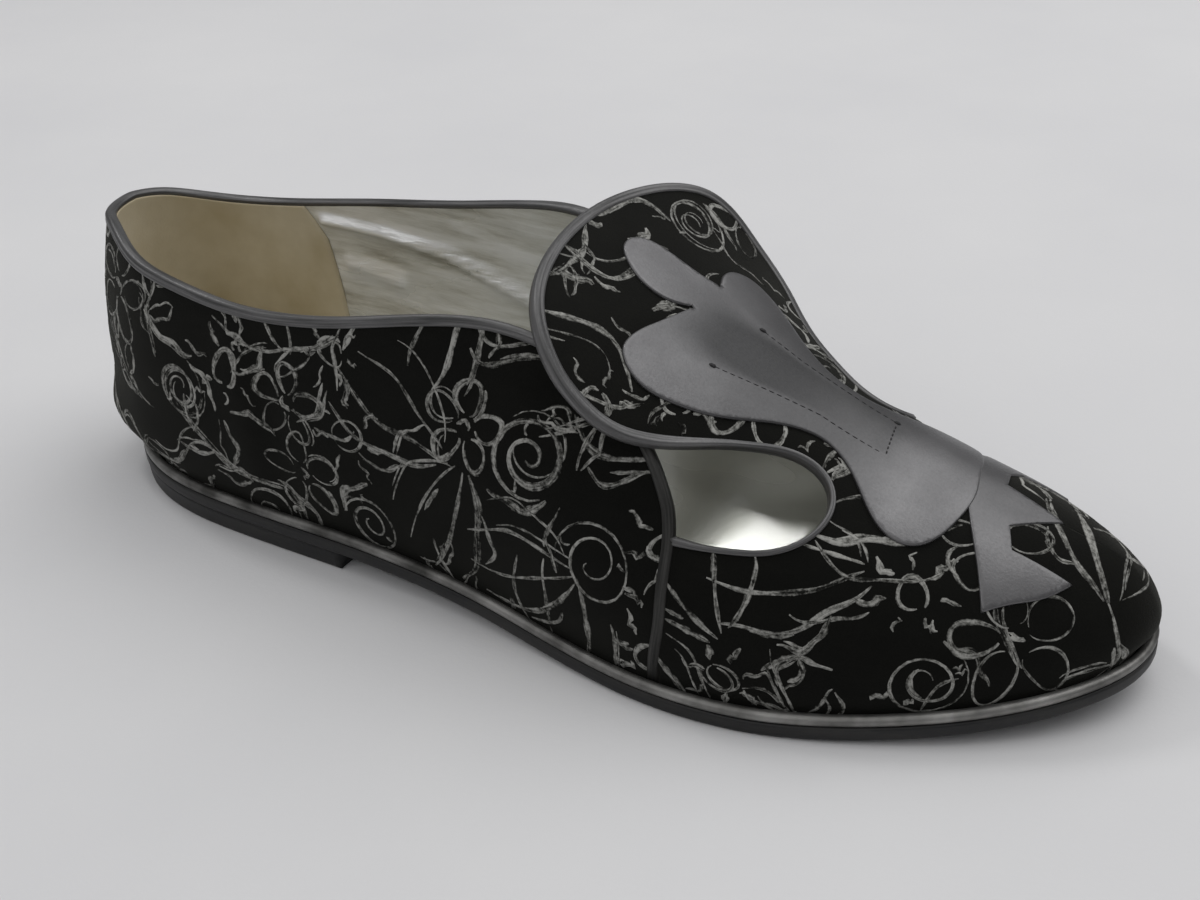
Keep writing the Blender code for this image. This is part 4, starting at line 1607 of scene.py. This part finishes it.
def insole_half(stations, side):
    """Half of the insole: along its flat lower face, up to its rim and down into the bowl."""
    rise = steady(BOWL, 1, stations)
    power = steady(BOWL, 2, stations)
    seat = on_outsole(feather_edge(stations, side)[:, 0])
    rim_height = seat + INSOLE_THICK + rise
    wall = last_wall(stations, side, rise_at_height(stations, side, rim_height))
    out = edge_normal(stations, side)
    rim = wall[:, :2] - out * (WALL + BOWL_GAP)
    low_rim = inset_edge(stations, side, INSOLE_INSET)
    middle = (low_rim + inset_edge(stations, -side, INSOLE_INSET)) / 2.0
    inner_rim = rim - out * BOWL_LIP
    columns = []
    for share in np.linspace(0.0, 1.0, ACROSS + 1):
        plan = middle + (low_rim - middle) * share
        columns.append(np.column_stack([plan, on_outsole(plan[:, 0])]))
    columns.append(np.column_stack([rim, rim_height - BOWL_ROUND]))
    columns.append(np.column_stack([(rim + inner_rim) / 2.0, rim_height]))
    for share in np.sin(np.linspace(np.pi / 2.0, 0.0, 2 * ACROSS + 1)):
        plan = middle + (inner_rim - middle) * share
        front = BOWL_FRONT_RISE * ramp(plan[:, 0], *BOWL_FRONT) * (1.0 - share ** BOWL_FRONT_FADE)
        height = on_outsole(plan[:, 0]) + INSOLE_THICK + rise * share ** power + front - BOWL_ROUND * share
        columns.append(np.column_stack([plan, height]))
    return np.stack(columns, axis=1)


def make_insole():
    """Glossy sock inside the shoe."""
    stations = np.linspace(*INSOLE_ENDS, STATIONS + 1)
    points, quads = weld(both_sides(lambda side: insole_half(stations, side)))
    piece = add_piece("insole_shown", points, distinct(outward(points, quads)), "pewter_sock", SOCK)
    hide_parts("insole")


def rand_half(side):
    """Half of the bead: its profile carried along one side of the sole."""
    stations = np.linspace(0.0, 1.0, STATIONS + 1)
    loops = []
    for inset, height in np.concatenate([RAND, RAND[:1]]):
        plan = inset_edge(stations, side, inset)
        loops.append(np.column_stack([plan, underside(plan[:, 0]) + SOLE_THICK + height]))
    return np.stack(loops)


def make_rand():
    """Bead all round on the outsole's margin."""
    points, quads = weld(both_sides(rand_half))
    piece = add_piece("rand_shown", points, distinct(outward(points, quads)), "pewter_leather", RAND_PEWTER)
    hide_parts("rand")


# Camera of the photograph, in millimetres in the frame
AZIMUTH = math.radians(31.5)
ELEVATION = math.radians(30.4)
ROLL = math.radians(-2.8)
DISTANCE = 350.0
TARGET = np.array([7.4, 1.2, 25.7])
FOCAL_LENGTH = 48.92
SENSOR_WIDTH = 36.0
CLIP_START = 0.01

# Floor, pale dome by height, and soft lights, in metres
FLOOR_SIZE = 6.0
FLOOR_DROP = 0.0001
SKY_STRENGTH = 1.0
SKY = (
    (0.0, (0.14, 0.14, 0.145)),
    (0.50, (0.20, 0.20, 0.205)),
    (0.76, (0.42, 0.42, 0.425)),
    (1.0, (0.80, 0.80, 0.80)),
)
LIGHTS = (
    # name, place, aim, size, power
    ("ceiling", (0.42, 0.66, 1.05), (0.04, 0.08, 0.0), (1.6, 1.3), 8.0),
    ("side", (-0.15, -0.95, 0.85), (0.0, 0.0, 0.03), (1.7, 0.45), 2.4),
    ("lamp", (-0.60, 0.14, 0.94), (0.045, 0.010, 0.012), (0.14, 0.26), 1.5),
)


def make_camera():
    """Camera that looks down on the outer side of the shoe from the front."""
    right = np.array([math.cos(AZIMUTH), math.sin(AZIMUTH), 0.0])
    flat = np.array([math.sin(AZIMUTH), -math.cos(AZIMUTH), 0.0])
    back = flat * math.cos(ELEVATION) + np.array([0.0, 0.0, math.sin(ELEVATION)])
    up = np.cross(back, right)
    turned_right = right * math.cos(ROLL) + up * math.sin(ROLL)
    turned_up = up * math.cos(ROLL) - right * math.sin(ROLL)
    data = bpy.data.cameras.new("photo_camera")
    data.sensor_fit = "HORIZONTAL"
    data.sensor_width = SENSOR_WIDTH
    data.lens = FOCAL_LENGTH
    data.clip_start = CLIP_START
    camera = add_object("photo_camera", data)
    axes = Matrix(np.column_stack([turned_right, turned_up, back]).tolist()).to_4x4()
    camera.matrix_world = Matrix.Translation(Vector((TARGET + back * DISTANCE) * MM)) @ axes
    bpy.context.scene.camera = camera


def make_floor():
    """Pale cloth under the shoe."""
    half = FLOOR_SIZE / 2.0
    corners = [(-half, -half), (half, -half), (half, half), (-half, half)]
    data = bpy.data.meshes.new("floor")
    data.from_pydata([(x, y, -FLOOR_DROP) for x, y in corners], [], [(0, 1, 2, 3)])
    data.materials.append(CLOTH)
    floor = add_object("floor", data)


def add_light(name, at, target, size, power):
    """Rectangular soft light."""
    data = bpy.data.lights.new(name, "AREA")
    data.shape = "RECTANGLE"
    data.size, data.size_y = size
    data.energy = power
    light = add_object(name, data)
    way = Vector(target) - Vector(at)
    light.matrix_world = Matrix.Translation(Vector(at)) @ way.to_track_quat("-Z", "Y").to_matrix().to_4x4()


def make_light():
    """Soft room light: a pale dome and the lights of the table."""
    world = bpy.data.worlds.new("room")
    world.use_nodes = True
    tree = world.node_tree
    bpy.context.scene.world = world
    sky = tones(tree, third(tree, node(tree, "TexCoord").outputs["Generated"]), *SKY)
    feed(tree, tree.nodes["Background"], Color=sky, Strength=SKY_STRENGTH)
    for light in LIGHTS:
        add_light(*light)


make_upper()
make_grip()
make_bindings()
add_applique("strap_leather", STRAP, STRAP_THICK, STRAP_ROUND, strap_sink_and_painted_shade)
add_applique("toe_band_leather", BAND, BAND_THICK, BAND_ROUND, band_sink_and_painted_shade)
make_stitches()
make_print("quarters_print", quarters_panel)
make_print("vamp_print", vamp_panel)
make_soles()
make_insole()
make_rand()
make_floor()
make_light()
make_camera()
bpy.context.scene.view_settings.view_transform = "Standard"
bpy.context.scene.view_settings.look = "None"
